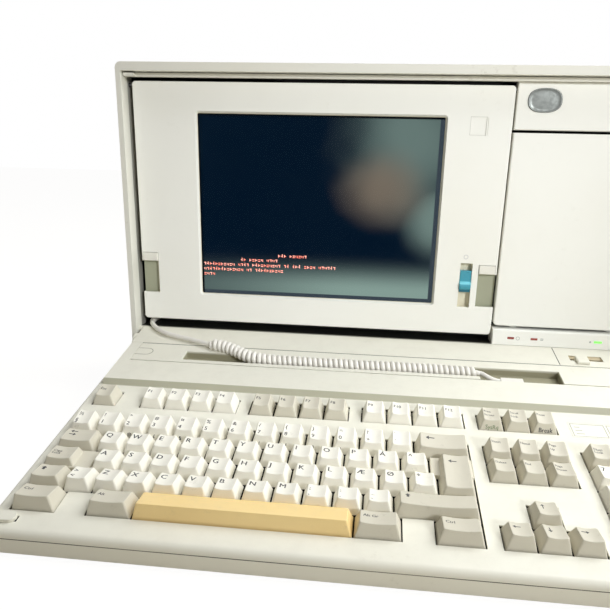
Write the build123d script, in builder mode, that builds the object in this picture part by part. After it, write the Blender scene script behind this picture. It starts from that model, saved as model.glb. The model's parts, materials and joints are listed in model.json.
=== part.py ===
"""Luggable computer: a case that stands upright with a folding keyboard, a flat display and a drive bay.

Row frame in millimetres: X to the right, Y to the back, Z up, the table at Z = 0.
The keyboard is drawn in its own deck plane, which leans back from the table to the hinge.
"""
import os
from math import atan, cos, degrees, radians, sin, sqrt, tan

from build123d import *

os.makedirs("parts", exist_ok=True)

# ---------------------------------------------------------------- driving sizes
# keyboard
key_pitch = 19.05
key_columns = 23
key_rows = 7
side_margin = 13.4          # key field to the case's outer side
front_margin = 18.5         # key field to the keyboard's front edge
rear_margin = 93.75         # key field to the hinge axis
keyboard_tilt = 10.5
deck_over_hinge = 4.45      # deck surface above the hinge axis
deck_thickness = 18.2       # deck surface to the keyboard's underside
shell_seam = 5.3            # deck surface to the seam between the two shells
seam_groove = (0.8, 0.5)     # depth and height of the line between the shells
shell_wall = 2.5
edge_radius = 4.5
side_radius = 3.5
plateau_height = 4.0        # raised strip behind the keys
plateau_inset = 5.2         # plateau side to the keyboard's side
ridge_front = 10.65         # key field to the foot of the ridge
ridge_run = 3.5
keyboard_rear = 45.25       # key field to the keyboard's rear edge
seam_gap = 1.5
arm_width = 9.8             # shell arm beside the cord tray
# hinge
hinge_height = 59.3
barrel_radius = 18.1
barrel_clearance = 0.5
ear_radius = 8.0
ear_root = 24.0            # hinge axis to where an ear joins the shell
ear_clearance = 0.4
hinge_pin_radius = 4.0
hinge_pin_reach = 20.0
running_fit = 0.05
# keys
key_gap = 0.5
key_taper = 3.6
key_front_slope = 3.0
key_rear_slope = 2.5
key_sink = 1.5
key_travel = 3.5
ledge_height = 2.2
key_dish = 0.8
stem_size = 4.0
stem_depth = 11.0
stem_clearance = 0.15
plate_depth = 6.5
plate_thickness = 1.5
row_front_height = (9.9, 9.4, 8.2, 8.4, 9.0, 0, 7.9)
row_rear_height = (6.7, 6.8, 7.0, 7.6, 10.7, 0, 9.4)
# case
case_depth = 106.0
frame_setback = 4.9         # hinge axis to the front frame's face
frame_depth = 24.0
side_wall = 4.5
top_band = 7.0
case_wall = 3.0
case_radius = 5.0
foot_height = 3.5
foot_radius = 9.0
chin_reach = 6.0            # lower front wall ahead of the hinge axis
strip_setback = 8.0
strip_height = 3.8
groove_height = 0.8
gap_floor_depth = 44.0      # hinge axis to the back of the gap under the display
lip_flat = 11.9
lip_wall = 3.0
# display
panel_setback = 12.7        # frame face to the display's front plane
display_width = 326.0
display_side_gap = 4.4
display_top_gap = 3.0       # strip to the display's top edge
display_bottom_gap = 8.2    # lip to the display's bottom edge
bezel_depth = 11.3
bezel_wall = 3.0
bezel_radius = 3.0
screen_width = 213.7
screen_height = 160.0
screen_shift = 1.05         # screen's middle right of the display's middle
screen_bottom = 27.0
glass_thickness = 2.0
panel_margin = 6.0
panel_thickness = 6.0
back_depth = 12.5
back_inset = 4.5
tilt_pin_radius = 2.0
tilt_pin_drop = 3.0
tilt_pin_setback = 5.8
# right-hand column
column_gap = 1.5
door_top_gap = 2.3
badge_panel_height = 37.4
door_radius = 4.0
door_side_gap = 0.9
indicator_height = 14.3
indicator_lead = 4.0        # indicator panel ahead of the display plane
door_bottom_gap = 2.4
badge_width = 27.5
badge_height = 19.0
badge_thickness = 0.8
badge_left = 8.5            # column's left edge to the badge
badge_drop = 14.2
lug_inset = 16.0
lug_gap = 0.4
lamps = ((13.2, 6.0), (33.8, 6.0), (88.8, 7.0))
lamp_rise = 6.6
lamp_height = 2.0
lamp_depth = 1.5
# top handle
handle_length = 170.0
handle_arm = 12.0
handle_grip = 18.0
handle_reach = 40.0
handle_thickness = 12.0
handle_heel = 6.0
handle_clearance = 1.0
handle_recess_depth = 17.0
handle_setback = 38.0       # frame face to the handle's pivot
handle_pin_radius = 3.0
handle_pin_length = 4.0

# inside the case
tray_sheet = 1.2
tray_side_gap = 0.5
divider_thickness = 2.0
supply_size = (100.0, 38.0, 84.0)
board_size = (300.0, 44.0)
board_setback = 56.0        # frame face to the system board's middle
board_thickness = 1.6
board_height = 8.0
disk_size = (102.0, 26.0, 100.0)
disk_shelf = 92.0
fan_depth = 20.0
fan_blades = 7
fan_tip_gap = 1.5
fan_hub_radius = 16.0
fan_wall = 2.5
fan_shaft_radius = 2.0
# display latches and brightness slider
latch_x = 1.5               # display's side to the latch's middle, plus half a button
latch_width = 14.2
latch_height = 7.6
latch_proud = 1.2
latch_recess_height = 38.0
latch_recess_bottom = 25.8  # display's lower edge to the recess
latch_play = 0.4
tub_depth = 5.5
tub_wall = 1.0
slider_right = 26.8         # display's right edge to the slider slot's middle
slider_slot_width = 10.6
slider_slot_height = 40.2
slider_slot_bottom = 24.8
slider_height = 19.4
slider_lift = 14.0          # slot's lower end to the slider
label_width = 14.0
label_height = 14.0
label_right = 26.5
label_top = 32.5
label_depth = 0.4
# drive bay
door_wall = 3.0
door_flange = 8.0
bay_pin_setback = 7.3
bay_pin_rise = 3.5
bay_pin_radius = 1.5
bay_lug_radius = 3.5
bay_lug_width = 6.0
drive_width = 101.6
drive_thickness = 25.4
drive_length = 140.0
drive_slot_width = 90.0
drive_slot = 4.6
drive_slot_reach = 95.0
drive_rise = 12.0           # door's lower edge to the drive
eject_width = 12.0
eject_height = 6.0
eject_travel = 4.0
# back of the case
fan_x = -165.0
fan_z = 62.0
fan_size = 80.0
vent_x = -20.0
vent_z = 215.0
vent_width = 180.0
vent_pitch = 8.0
vent_slot = 3.0
side_vent_z = 175.0
side_vent_length = 60.0
port_x = (-90.0, 195.0)
port_z = (20.0, 56.0)
cover_x = (-60.0, 120.0)
cover_z = (78.0, 122.0)
panel_sheet = 1.5
connector_row = ((-34.0, 39.0), (34.0, 53.0), (92.0, 24.0), (146.0, 39.0))
connector_height = 10.0
connector_reach = 5.0
inlet_x = -74.0
inlet_width = 24.0
inlet_height = 18.0
inlet_depth = 16.0
# release lever in the lip
lever_slot_left = 386.8     # key field's left edge to the slot
lever_slot_length = 28.0
lever_setback = -6.5        # hinge axis to the slot, towards the keys
lever_neck = 4.0
lever_width = 10.4
lever_clearance = 0.3
lever_recess = (1.2, 8.8)   # depth and width of the shallow recess round the slot
lever_rest = 4.0            # slot's left end to the lever at rest
lever_knob = 2.6
lever_knob_depth = 11.0
lever_foot = 1.4
# keyboard details
latch_tab = (17.5, 7.8, 2.4)
latch_tab_left = -8.2       # key field's left edge to the tab
latch_tab_front = 7.2       # key field's front edge to the tab's middle
latch_tab_travel = 5.0
latch_stem = (8.0, 4.0)
window_start = 19           # in key pitches from the left
window_front = 113.0
window_depth = 18.0
window_sheet = 0.6
foot_pad_front = 12.0
foot_pad_depth = 9.0
foot_pad_width = 46.0
foot_pad_side = 34.0        # keyboard's side to the pad
base_round = 2.5
rib_thickness = 2.0
well_margin = 0.25
plug_left = 322.0
plug_width = 18.0
plug_depth = 8.0
plug_height = 5.9
plug_shoulder = 1.8        # plug's top down to its nose
plug_top = 3.0
plug_nose = 3.0             # plug's side to its nose
plug_nose_depth = 6.0
# cord
cord_radius = 2.5
tube_sides = 12
coil_radius = 5.3
grommet_neck = 3.6
grommet_flange = 4.3
grommet_lip = 1.2
gap_wall_height = 10.5
cord_exit_left = 8.0        # case's inner side to the cord
cord_exit_height = 4.4
trough_left = 51.0          # key field's left edge to the trough
trough_right = 371.7
trough_front = 51.15        # key field's back edge to the trough
trough_width = 14.7
trough_depth = 7.0
plug_bay_left = 305.0

# ---------------------------------------------------------------- derived places
key_field = key_columns * key_pitch
case_half = key_field / 2 + side_margin
tilt = radians(keyboard_tilt)
keyboard_reach = rear_margin + key_rows * key_pitch + front_margin
case_top = hinge_height + keyboard_reach
front_extent = (
    (keyboard_reach - edge_radius) * cos(tilt)
    + (deck_over_hinge - edge_radius) * sin(tilt)
    + edge_radius
)
hinge_y = (front_extent - frame_setback - case_depth) / 2
case_front = hinge_y + frame_setback
case_rear = case_front + case_depth
case_inner = case_half - side_wall
keyboard_half = case_inner
plateau_half = keyboard_half - plateau_inset
lip_half = case_inner - ear_clearance * 2 - 3.4

deck_normal = (0, -sin(tilt), cos(tilt))
hinge_plane = Plane(origin=(-key_field / 2, hinge_y, hinge_height), x_dir=(1, 0, 0), z_dir=deck_normal)
key_to_hinge = key_rows * key_pitch + rear_margin
deck = Plane(
    origin=hinge_plane.from_local_coords((0, -key_to_hinge, deck_over_hinge)),
    x_dir=(1, 0, 0),
    z_dir=deck_normal,
)
deck_side = Plane(origin=deck.origin, x_dir=deck.y_dir, z_dir=(1, 0, 0))
deck_centre = key_field / 2
deck_front = Plane(origin=deck.origin - deck.y_dir * front_margin, x_dir=(1, 0, 0), z_dir=-deck.y_dir)
case_side = Plane.YZ
lever_front = key_to_hinge + lever_setback
latch_tab_middles = [
    latch_tab_left + latch_tab[0] / 2,
    key_field - latch_tab_left - latch_tab[0] / 2,
]

# display and column limits
panel_front = case_front + panel_setback
strip_bottom = case_top - top_band - strip_height
display_top = strip_bottom - display_top_gap
lip_top_rear = hinge_height + (deck_over_hinge + plateau_height + lip_flat * sin(tilt)) / cos(tilt)
display_bottom = lip_top_rear + display_bottom_gap
display_left = -case_inner + display_side_gap
display_right = display_left + display_width
column_left = display_right + column_gap
column_right = case_inner - door_side_gap
column_centre = (column_left + column_right) / 2
indicator_bottom = lip_top_rear + 0.7
indicator_top = indicator_bottom + indicator_height
door_bottom = indicator_top + door_bottom_gap
badge_panel_bottom = strip_bottom - badge_panel_height
door_top = badge_panel_bottom - door_top_gap
port_middle = sum(port_z) / 2
board_x = 65.0
board_y = case_front + board_setback
cord_exit = (cord_exit_left - case_inner, hinge_y + gap_floor_depth - lip_wall - grommet_lip,
             lip_top_rear + cord_exit_height)


# ---------------------------------------------------------------- helpers
def block(x_range, y_range, z_range, mode=Mode.ADD):
    """A block between two corners, in the builder's own plane."""
    centre = tuple((low + high) / 2 for low, high in (x_range, y_range, z_range))
    size = tuple(high - low for low, high in (x_range, y_range, z_range))
    with Locations(centre):
        Box(*size, mode=mode)


def rod(x_range, y, z, radius, mode=Mode.ADD):
    """A round rod along X, in the builder's own plane."""
    with Locations(Location(((x_range[0] + x_range[1]) / 2, y, z), (0, 90, 0))):
        Cylinder(radius, x_range[1] - x_range[0], mode=mode)


def save(name, builder):
    """Labels a finished piece and writes its file."""
    builder.part.label = name
    export_step(builder.part, f"parts/{name}.step")


def deck_block(x_range, y_range, z_range, mode=Mode.ADD):
    """A block between two corners given in the deck's frame."""
    centre = tuple((low + high) / 2 for low, high in (x_range, y_range, z_range))
    with Locations(deck.location * Location(centre)):
        Box(*(high - low for low, high in (x_range, y_range, z_range)), mode=mode)


def table_in_deck(y):
    """Height of the table in the deck's frame, at a distance along the deck."""
    return (-deck.origin.Z - y * sin(tilt)) / cos(tilt)


# ---------------------------------------------------------------- front frame
frame_back = case_front + frame_depth
with BuildPart() as front_frame:
    with BuildSketch(Plane.XZ.offset(-case_front)):
        with Locations((0, (case_top + foot_height) / 2)):
            RectangleRounded(2 * case_half, case_top - foot_height, case_radius)
    extrude(amount=-frame_depth)
    block(
        (-case_inner, case_inner),
        (case_front, frame_back),
        (foot_height + case_wall, case_top - top_band),
        mode=Mode.SUBTRACT,
    )
    # set-back strip under the top band, with a shadow groove above it
    block(
        (-case_inner, case_inner),
        (case_front + strip_setback, frame_back),
        (strip_bottom, case_top - top_band),
    )
    block(
        (-case_inner, case_inner),
        (case_front + strip_setback, case_front + strip_setback + groove_height * 5),
        (case_top - top_band - groove_height, case_top - top_band),
        mode=Mode.SUBTRACT,
    )
    # lower front wall below the hinge barrel
    chin_front = hinge_y - chin_reach
    chin_top = hinge_height - sqrt(barrel_radius**2 - chin_reach**2)
    block((-case_half, case_half), (chin_front, case_front), (foot_height, foot_height + case_wall))
    block((-case_half, case_half), (chin_front, chin_front + case_wall), (foot_height, chin_top))
    rod((-case_inner, case_inner), hinge_y, hinge_height, barrel_radius, mode=Mode.SUBTRACT)
    for side in (-1, 1):
        cheek = sorted((side * case_inner, side * case_half))
        block(cheek, (chin_front, case_front), (foot_height, chin_top))
    # bores for the display's tilt pins
    rod(
        (-case_inner - 2.5, -case_inner),
        panel_front + tilt_pin_setback,
        display_top - tilt_pin_drop,
        tilt_pin_radius + running_fit,
        mode=Mode.SUBTRACT,
    )
    # catches for the keyboard's latches
    for side in (-1, 1):
        catch = sorted((side * (case_inner - 10), side * (case_inner - 1)))
        block(catch, (case_front + 3.5, case_front + strip_setback), (strip_bottom, strip_bottom + 2.4))
save("front_frame", front_frame)

# ---------------------------------------------------------------- hinge lip
with BuildPart() as hinge_lip:
    lip_top = deck_over_hinge + plateau_height
    floor_back = hinge_y + gap_floor_depth
    with BuildSketch(case_side.offset(-lip_half)):
        with Locations((hinge_y, hinge_height)):
            Circle(barrel_radius)
            Circle(barrel_radius - lip_wall, mode=Mode.SUBTRACT)
        # everything above the sloping flat and behind the lower front wall goes
        with BuildLine():
            flat_front = (
                hinge_y - barrel_radius * 2,
                hinge_height + (lip_top - 2 * barrel_radius * sin(tilt)) / cos(tilt),
            )
            flat_rear = (
                hinge_y + 3 * barrel_radius,
                hinge_height + (lip_top + 3 * barrel_radius * sin(tilt)) / cos(tilt),
            )
            Polyline(flat_front, flat_rear, (flat_rear[0], case_top), (flat_front[0], case_top), close=True)
        make_face(mode=Mode.SUBTRACT)
        with Locations((hinge_y - chin_reach + case_wall + barrel_radius, hinge_height - barrel_radius)):
            Rectangle(2 * barrel_radius, 2 * barrel_radius, mode=Mode.SUBTRACT)
        # sloping flat, then the level floor under the display
        with BuildLine():
            nose = sqrt(barrel_radius**2 - lip_top**2)
            nose_inner = sqrt((barrel_radius - lip_wall) ** 2 - (lip_top - lip_wall) ** 2)

            def on_slope(along, up):
                """A point given along and above the keyboard's slope, from the hinge axis."""
                return (
                    hinge_y + along * cos(tilt) - up * sin(tilt),
                    hinge_height + along * sin(tilt) + up * cos(tilt),
                )

            Polyline(
                on_slope(-nose, lip_top),
                (hinge_y + lip_flat, lip_top_rear),
                (floor_back, lip_top_rear),
                (floor_back, lip_top_rear - lip_wall),
                (hinge_y + lip_flat, lip_top_rear - lip_wall),
                on_slope(-nose_inner, lip_top - lip_wall),
                close=True,
            )
        make_face()
    extrude(amount=2 * lip_half)
    # floor ends reach the case's sides behind the ears
    ears_back = hinge_y + ear_radius + 2.0
    for side in (-1, 1):
        end = sorted((side * (lip_half - 1), side * case_inner))
        block(end, (ears_back + 2, floor_back), (lip_top_rear - lip_wall, lip_top_rear))
        # solid boss that carries the hinge pin
        boss = sorted((side * (lip_half - hinge_pin_reach), side * lip_half))
        rod(boss, hinge_y, hinge_height, ear_radius)
        block(
            boss,
            (hinge_y - ear_radius / 2, hinge_y + ear_radius / 2),
            (hinge_height, hinge_height + lip_top - lip_wall / 2),
        )
        bore = sorted((side * (lip_half - hinge_pin_reach - 1), side * (lip_half + 1)))
        rod(bore, hinge_y, hinge_height, hinge_pin_radius + running_fit, mode=Mode.SUBTRACT)
    # wall at the back of the gap, with the hole for the cord's grommet
    block(
        (-case_inner, case_inner),
        (floor_back - lip_wall, floor_back),
        (lip_top_rear, lip_top_rear + gap_wall_height),
    )
    with Locations(Location((cord_exit[0], floor_back, cord_exit[2]), (90, 0, 0))):
        Cylinder(grommet_neck, 4 * lip_wall, mode=Mode.SUBTRACT)
    # slot for the release lever
    deck_block(
        (lever_slot_left, lever_slot_left + lever_slot_length),
        (lever_front, lever_front + lever_neck + 2 * lever_clearance),
        (plateau_height - 2 * lip_wall, plateau_height + 1),
        mode=Mode.SUBTRACT,
    )
    deck_block(
        (lever_slot_left, lever_slot_left + lever_slot_length),
        (lever_front, lever_front + lever_recess[1]),
        (plateau_height - lever_recess[0], plateau_height + 1),
        mode=Mode.SUBTRACT,
    )
save("hinge_lip", hinge_lip)

# ---------------------------------------------------------------- rear shell
with BuildPart() as case_shell:
    with BuildSketch(Plane.XZ.offset(-frame_back)):
        with Locations((0, (case_top + foot_height) / 2)):
            RectangleRounded(2 * case_half, case_top - foot_height, case_radius)
    extrude(amount=-(case_rear - frame_back))
    fillet(case_shell.faces().sort_by(Axis.Y)[-1].edges(), case_wall)
    block(
        (-case_half + case_wall, case_half - case_wall),
        (frame_back, case_rear - case_wall),
        (foot_height + case_wall, case_top - case_wall),
        mode=Mode.SUBTRACT,
    )
    # tub for the handle in the top
    handle_y = case_front + handle_setback
    tub_half = handle_length / 2 + handle_clearance
    tub_front = handle_y - handle_heel - handle_clearance
    tub_back = handle_y + handle_reach + handle_clearance
    tub_floor = case_top - handle_recess_depth
    block(
        (-tub_half - case_wall - handle_pin_length, tub_half + case_wall + handle_pin_length),
        (tub_front - case_wall, tub_back + case_wall),
        (tub_floor - case_wall, case_top - case_wall),
    )
    block((-tub_half, tub_half), (tub_front, tub_back), (tub_floor, case_top + 1), mode=Mode.SUBTRACT)
    handle_z = tub_floor + handle_heel + handle_clearance + 0.5
    for side in (-1, 1):
        hole = sorted((side * (tub_half - 1), side * (tub_half + handle_pin_length)))
        rod(hole, handle_y, handle_z, handle_pin_radius + running_fit, mode=Mode.SUBTRACT)
    # fan grille, cooling slots, connector bay and slot-cover opening in the back
    slot_grid = (
        (fan_x, fan_z, 9, fan_size - 8),
        (vent_x, vent_z, 12, vent_width),
    )
    for centre_x, centre_z, count, width in slot_grid:
        with BuildSketch(Plane.XZ.offset(-case_rear)):
            with Locations((centre_x, centre_z)):
                with GridLocations(0, vent_pitch, 1, count):
                    Rectangle(width, vent_slot)
        extrude(amount=case_wall, mode=Mode.SUBTRACT)
    for x_range, z_range in ((port_x, port_z), (cover_x, cover_z)):
        block(x_range, (case_rear - 2 * case_wall, case_rear + 1), z_range, mode=Mode.SUBTRACT)
    # side cooling slots
    for side in (-1, 1):
        with BuildSketch(Plane.YZ.offset(side * case_half)):
            with Locations(((frame_back + case_rear) / 2, side_vent_z)):
                with GridLocations(vent_pitch * 1.2, 0, 7, 1):
                    Rectangle(vent_slot, side_vent_length)
        extrude(amount=-side * case_wall, mode=Mode.SUBTRACT)
save("case_shell", case_shell)

with BuildPart() as case_feet:
    for foot_y in (chin_front + foot_radius + 4, case_rear - foot_radius - 8):
        with Locations((0, foot_y, foot_height / 2)):
            with GridLocations(2 * (case_half - foot_radius - 14), 0, 2, 1):
                Cylinder(foot_radius, foot_height)
save("case_feet", case_feet)

# ---------------------------------------------------------------- top handle
with BuildPart() as handle:
    handle_base = handle_z - handle_thickness / 2
    with BuildSketch(Plane.XY.offset(handle_base)):
        with Locations((0, handle_y + (handle_reach - handle_heel) / 2)):
            RectangleRounded(handle_length, handle_reach + handle_heel, 4)
        with Locations((0, handle_y - handle_heel + (handle_reach + handle_heel - handle_grip) / 2)):
            Rectangle(
                handle_length - 2 * handle_arm,
                handle_reach + handle_heel - handle_grip,
                mode=Mode.SUBTRACT,
            )
    extrude(amount=handle_thickness)
    # rounded heels, so that the arms turn in the tub
    with BuildSketch(Plane.YZ.offset(-handle_length / 2)):
        with Locations((handle_y, handle_z)):
            Circle(handle_heel)
        with Locations((handle_y + handle_reach / 2, handle_z)):
            RectangleRounded(handle_reach, handle_thickness, 3.5)
        with Locations((handle_y + handle_reach / 4, handle_z)):
            Rectangle(handle_reach / 2, handle_thickness)
    extrude(amount=handle_length, mode=Mode.INTERSECT)
    for side in (-1, 1):
        pin = sorted((side * (handle_length / 2 - 1), side * (tub_half + handle_pin_length - 0.5)))
        rod(pin, handle_y, handle_z, handle_pin_radius)
save("handle", handle)

# ---------------------------------------------------------------- rear connectors
with BuildPart() as port_panel:
    block(port_x, (case_rear - 2 * case_wall - panel_sheet, case_rear - 2 * case_wall), port_z)
    block(
        (port_x[0] - 4, port_x[1] + 4),
        (case_rear - 2 * case_wall - panel_sheet, case_rear - case_wall),
        (port_z[0] - 4, port_z[1] + 4),
    )
    block(
        port_x,
        (case_rear - 2 * case_wall, case_rear - case_wall + 1),
        port_z,
        mode=Mode.SUBTRACT,
    )
    # mains inlet well
    block(
        (inlet_x - inlet_width / 2, inlet_x + inlet_width / 2),
        (case_rear - 2 * case_wall - 5, case_rear),
        (port_middle - inlet_height / 2, port_middle + inlet_height / 2),
        mode=Mode.SUBTRACT,
    )
save("port_panel", port_panel)

panel_face = case_rear - 2 * case_wall
with BuildPart() as rear_connectors:
    for centre_x, width in connector_row:
        with BuildSketch(Plane.XZ.offset(-panel_face)):
            with Locations((centre_x, port_middle)):
                Trapezoid(width, connector_height, 80)
        extrude(amount=-connector_reach, taper=0)
        for screw_side in (-1, 1):
            with BuildSketch(Plane.XZ.offset(-panel_face)):
                with Locations((centre_x + screw_side * (width / 2 + 5), port_middle)):
                    RegularPolygon(2.6, 6)
            extrude(amount=-connector_reach)
save("rear_connectors", rear_connectors)

# inlet body behind the panel, with its three blades
with BuildPart() as mains_inlet:
    inlet_back = panel_face - panel_sheet - inlet_depth
    block(
        (inlet_x - inlet_width / 2 - 2, inlet_x + inlet_width / 2 + 2),
        (inlet_back, panel_face - panel_sheet),
        (port_middle - inlet_height / 2 - 2, port_middle + inlet_height / 2 + 2),
    )
    block(
        (inlet_x - inlet_width / 2, inlet_x + inlet_width / 2),
        (inlet_back + 2, panel_face),
        (port_middle - inlet_height / 2, port_middle + inlet_height / 2),
        mode=Mode.SUBTRACT,
    )
    for blade_x, blade_z in ((-7, -2), (0, 4), (7, -2)):
        block(
            (inlet_x + blade_x - 1, inlet_x + blade_x + 1),
            (inlet_back + 1.5, panel_face - 3),
            (port_middle + blade_z - 2, port_middle + blade_z + 2),
        )
save("mains_inlet", mains_inlet)

with BuildPart() as slot_covers:
    cover_height = (cover_z[1] - cover_z[0]) / 2
    for index in range(2):
        low = cover_z[0] + index * cover_height
        block(
            (cover_x[0] + 0.3, cover_x[1] - 0.3),
            (case_rear - case_wall, case_rear - 1.0),
            (low + 0.3, low + cover_height - 0.3),
        )
        block(
            (cover_x[0] - 5, cover_x[1] + 5),
            (case_rear - case_wall - 1.2, case_rear - case_wall),
            (low + 0.3, low + cover_height - 0.3),
        )
save("slot_covers", slot_covers)

# ---------------------------------------------------------------- inside the case
inside_half = case_half - case_wall
tray_floor = foot_height + case_wall
with BuildPart() as chassis_tray:
    tray_half = inside_half - tray_side_gap
    tray_front = chin_front + case_wall + tray_side_gap
    tray_back = case_rear - 2 * case_wall - panel_sheet - inlet_depth - 2
    block((-tray_half, tray_half), (frame_back, tray_back), (tray_floor, tray_floor + tray_sheet))
    block((-case_inner + tray_side_gap, case_inner - tray_side_gap), (tray_front, frame_back + 1),
          (tray_floor, tray_floor + tray_sheet))
    # divider between the display and the drive bay, with a shelf for the hard disk
    divider_x = display_right - back_inset + 1.5
    divider = (divider_x, divider_x + divider_thickness)
    block(divider, (floor_back + 1, tray_back), (tray_floor, disk_shelf + disk_size[2] / 2))
    block(
        (divider_x - 1, divider_x + divider_thickness + 1),
        (floor_back, board_y + board_size[1] / 2 + 1),
        (tray_floor + tray_sheet, tray_floor + tray_sheet + 2 * board_height + 6),
        mode=Mode.SUBTRACT,
    )
    block((divider_x, tray_half), (tray_back - disk_size[1] - 4, tray_back),
          (disk_shelf - tray_sheet, disk_shelf))
    # standoffs for the system board
    with Locations((board_x, board_y, tray_floor + tray_sheet + board_height / 2)):
        with GridLocations(board_size[0] - 12, board_size[1] - 12, 2, 2):
            Cylinder(3, board_height)
save("chassis_tray", chassis_tray)

board_low = tray_floor + tray_sheet + board_height
with BuildPart() as system_board:
    with Locations((board_x, board_y, board_low + board_thickness / 2)):
        Box(board_size[0], board_size[1], board_thickness)
    # processor, memory and card sockets
    for chip_x, chip_y, length, width, height in (
        (-90, 2, 34, 34, 4), (-40, 4, 14, 30, 3), (-22, 4, 14, 30, 3), (-4, 4, 14, 30, 3),
        (80, -12, 60, 9, 11), (80, 8, 60, 9, 11), (128, 0, 26, 26, 3.5),
    ):
        with Locations((board_x + chip_x, board_y + chip_y, board_low + board_thickness + height / 2)):
            Box(length, width, height)
save("system_board", system_board)

supply_left = -inside_half + 4
supply_front = floor_back + 4
with BuildPart() as power_supply:
    block(
        (supply_left, supply_left + supply_size[0]),
        (supply_front, supply_front + supply_size[1]),
        (tray_floor + tray_sheet, tray_floor + tray_sheet + supply_size[2]),
    )
    chamfer(power_supply.edges().filter_by(Axis.Z), 1.5)
save("power_supply", power_supply)

with BuildPart() as hard_disk:
    disk_left = divider_x + divider_thickness + 6
    block(
        (disk_left, disk_left + disk_size[0]),
        (tray_back - disk_size[1] - 2, tray_back - 2),
        (disk_shelf, disk_shelf + disk_size[2]),
    )
    with BuildSketch(Plane.XZ.offset(-(tray_back - disk_size[1] - 2))):
        with Locations((disk_left + disk_size[0] / 2, disk_shelf + disk_size[2] / 2)):
            RectangleRounded(disk_size[0] - 14, disk_size[2] - 14, 8)
    extrude(amount=-1.5, mode=Mode.SUBTRACT)
save("hard_disk", hard_disk)

# ---------------------------------------------------------------- cooling fan
fan_back = case_rear - case_wall
fan_front = fan_back - fan_depth
fan_radius = fan_size / 2 - fan_wall
with BuildPart() as fan_housing:
    with BuildSketch(Plane.XZ.offset(-fan_front)):
        with Locations((fan_x, fan_z)):
            RectangleRounded(fan_size, fan_size, 4)
            Circle(fan_radius, mode=Mode.SUBTRACT)
    extrude(amount=-fan_depth)
    # spider that holds the shaft
    with BuildSketch(Plane.XZ.offset(-(fan_back - 3))):
        with Locations((fan_x, fan_z)):
            Circle(fan_hub_radius)
            with PolarLocations(0, 2):
                Rectangle(2 * fan_radius + 1, 4)
                Rectangle(4, 2 * fan_radius + 1)
    extrude(amount=-3)
    with Locations(Location((fan_x, fan_front + fan_depth / 2 + 2, fan_z), (90, 0, 0))):
        Cylinder(fan_shaft_radius, fan_depth - 6)
save("fan_housing", fan_housing)

with BuildPart() as fan_rotor:
    rotor_back = fan_back - 3 - 1.0
    rotor_depth = fan_depth - 6.0
    with BuildSketch(Plane.XZ.offset(-(rotor_back - rotor_depth))):
        with Locations((fan_x, fan_z)):
            Circle(fan_hub_radius)
    extrude(amount=-rotor_depth)
    with BuildSketch(Plane.XZ.offset(-(rotor_back - rotor_depth + 2))):
        with Locations((fan_x, fan_z)):
            with PolarLocations((fan_radius - fan_tip_gap) / 2, fan_blades):
                Rectangle(fan_radius - fan_tip_gap, 3.0, rotation=0)
            Circle(fan_radius - fan_tip_gap, mode=Mode.INTERSECT)
    extrude(amount=-(rotor_depth - 4))
    with Locations(Location((fan_x, rotor_back, fan_z), (90, 0, 0))):
        Cylinder(fan_shaft_radius + running_fit, 2 * rotor_depth - 4, mode=Mode.SUBTRACT)
save("fan_rotor", fan_rotor)

# ---------------------------------------------------------------- display
display_centre = (display_left + display_right) / 2
screen_x = display_centre + screen_shift
screen_z = display_bottom + screen_bottom + screen_height / 2
bezel_back = panel_front + bezel_depth
pin_y = panel_front + tilt_pin_setback
pin_z = display_top - tilt_pin_drop
left_latch_x = display_left + latch_x + latch_width / 2
right_latch_x = display_right - latch_x - latch_width / 2
latch_recess_middle = display_bottom + latch_recess_bottom + latch_recess_height / 2
latch_top = display_bottom + latch_recess_bottom + latch_recess_height - latch_play
slider_x = display_right - slider_right
slider_slot_middle = display_bottom + slider_slot_bottom + slider_slot_height / 2
pin_left = (-case_inner - 2.2, display_left + 8)
pin_right = (display_right - 8, column_left + 4)

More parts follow.
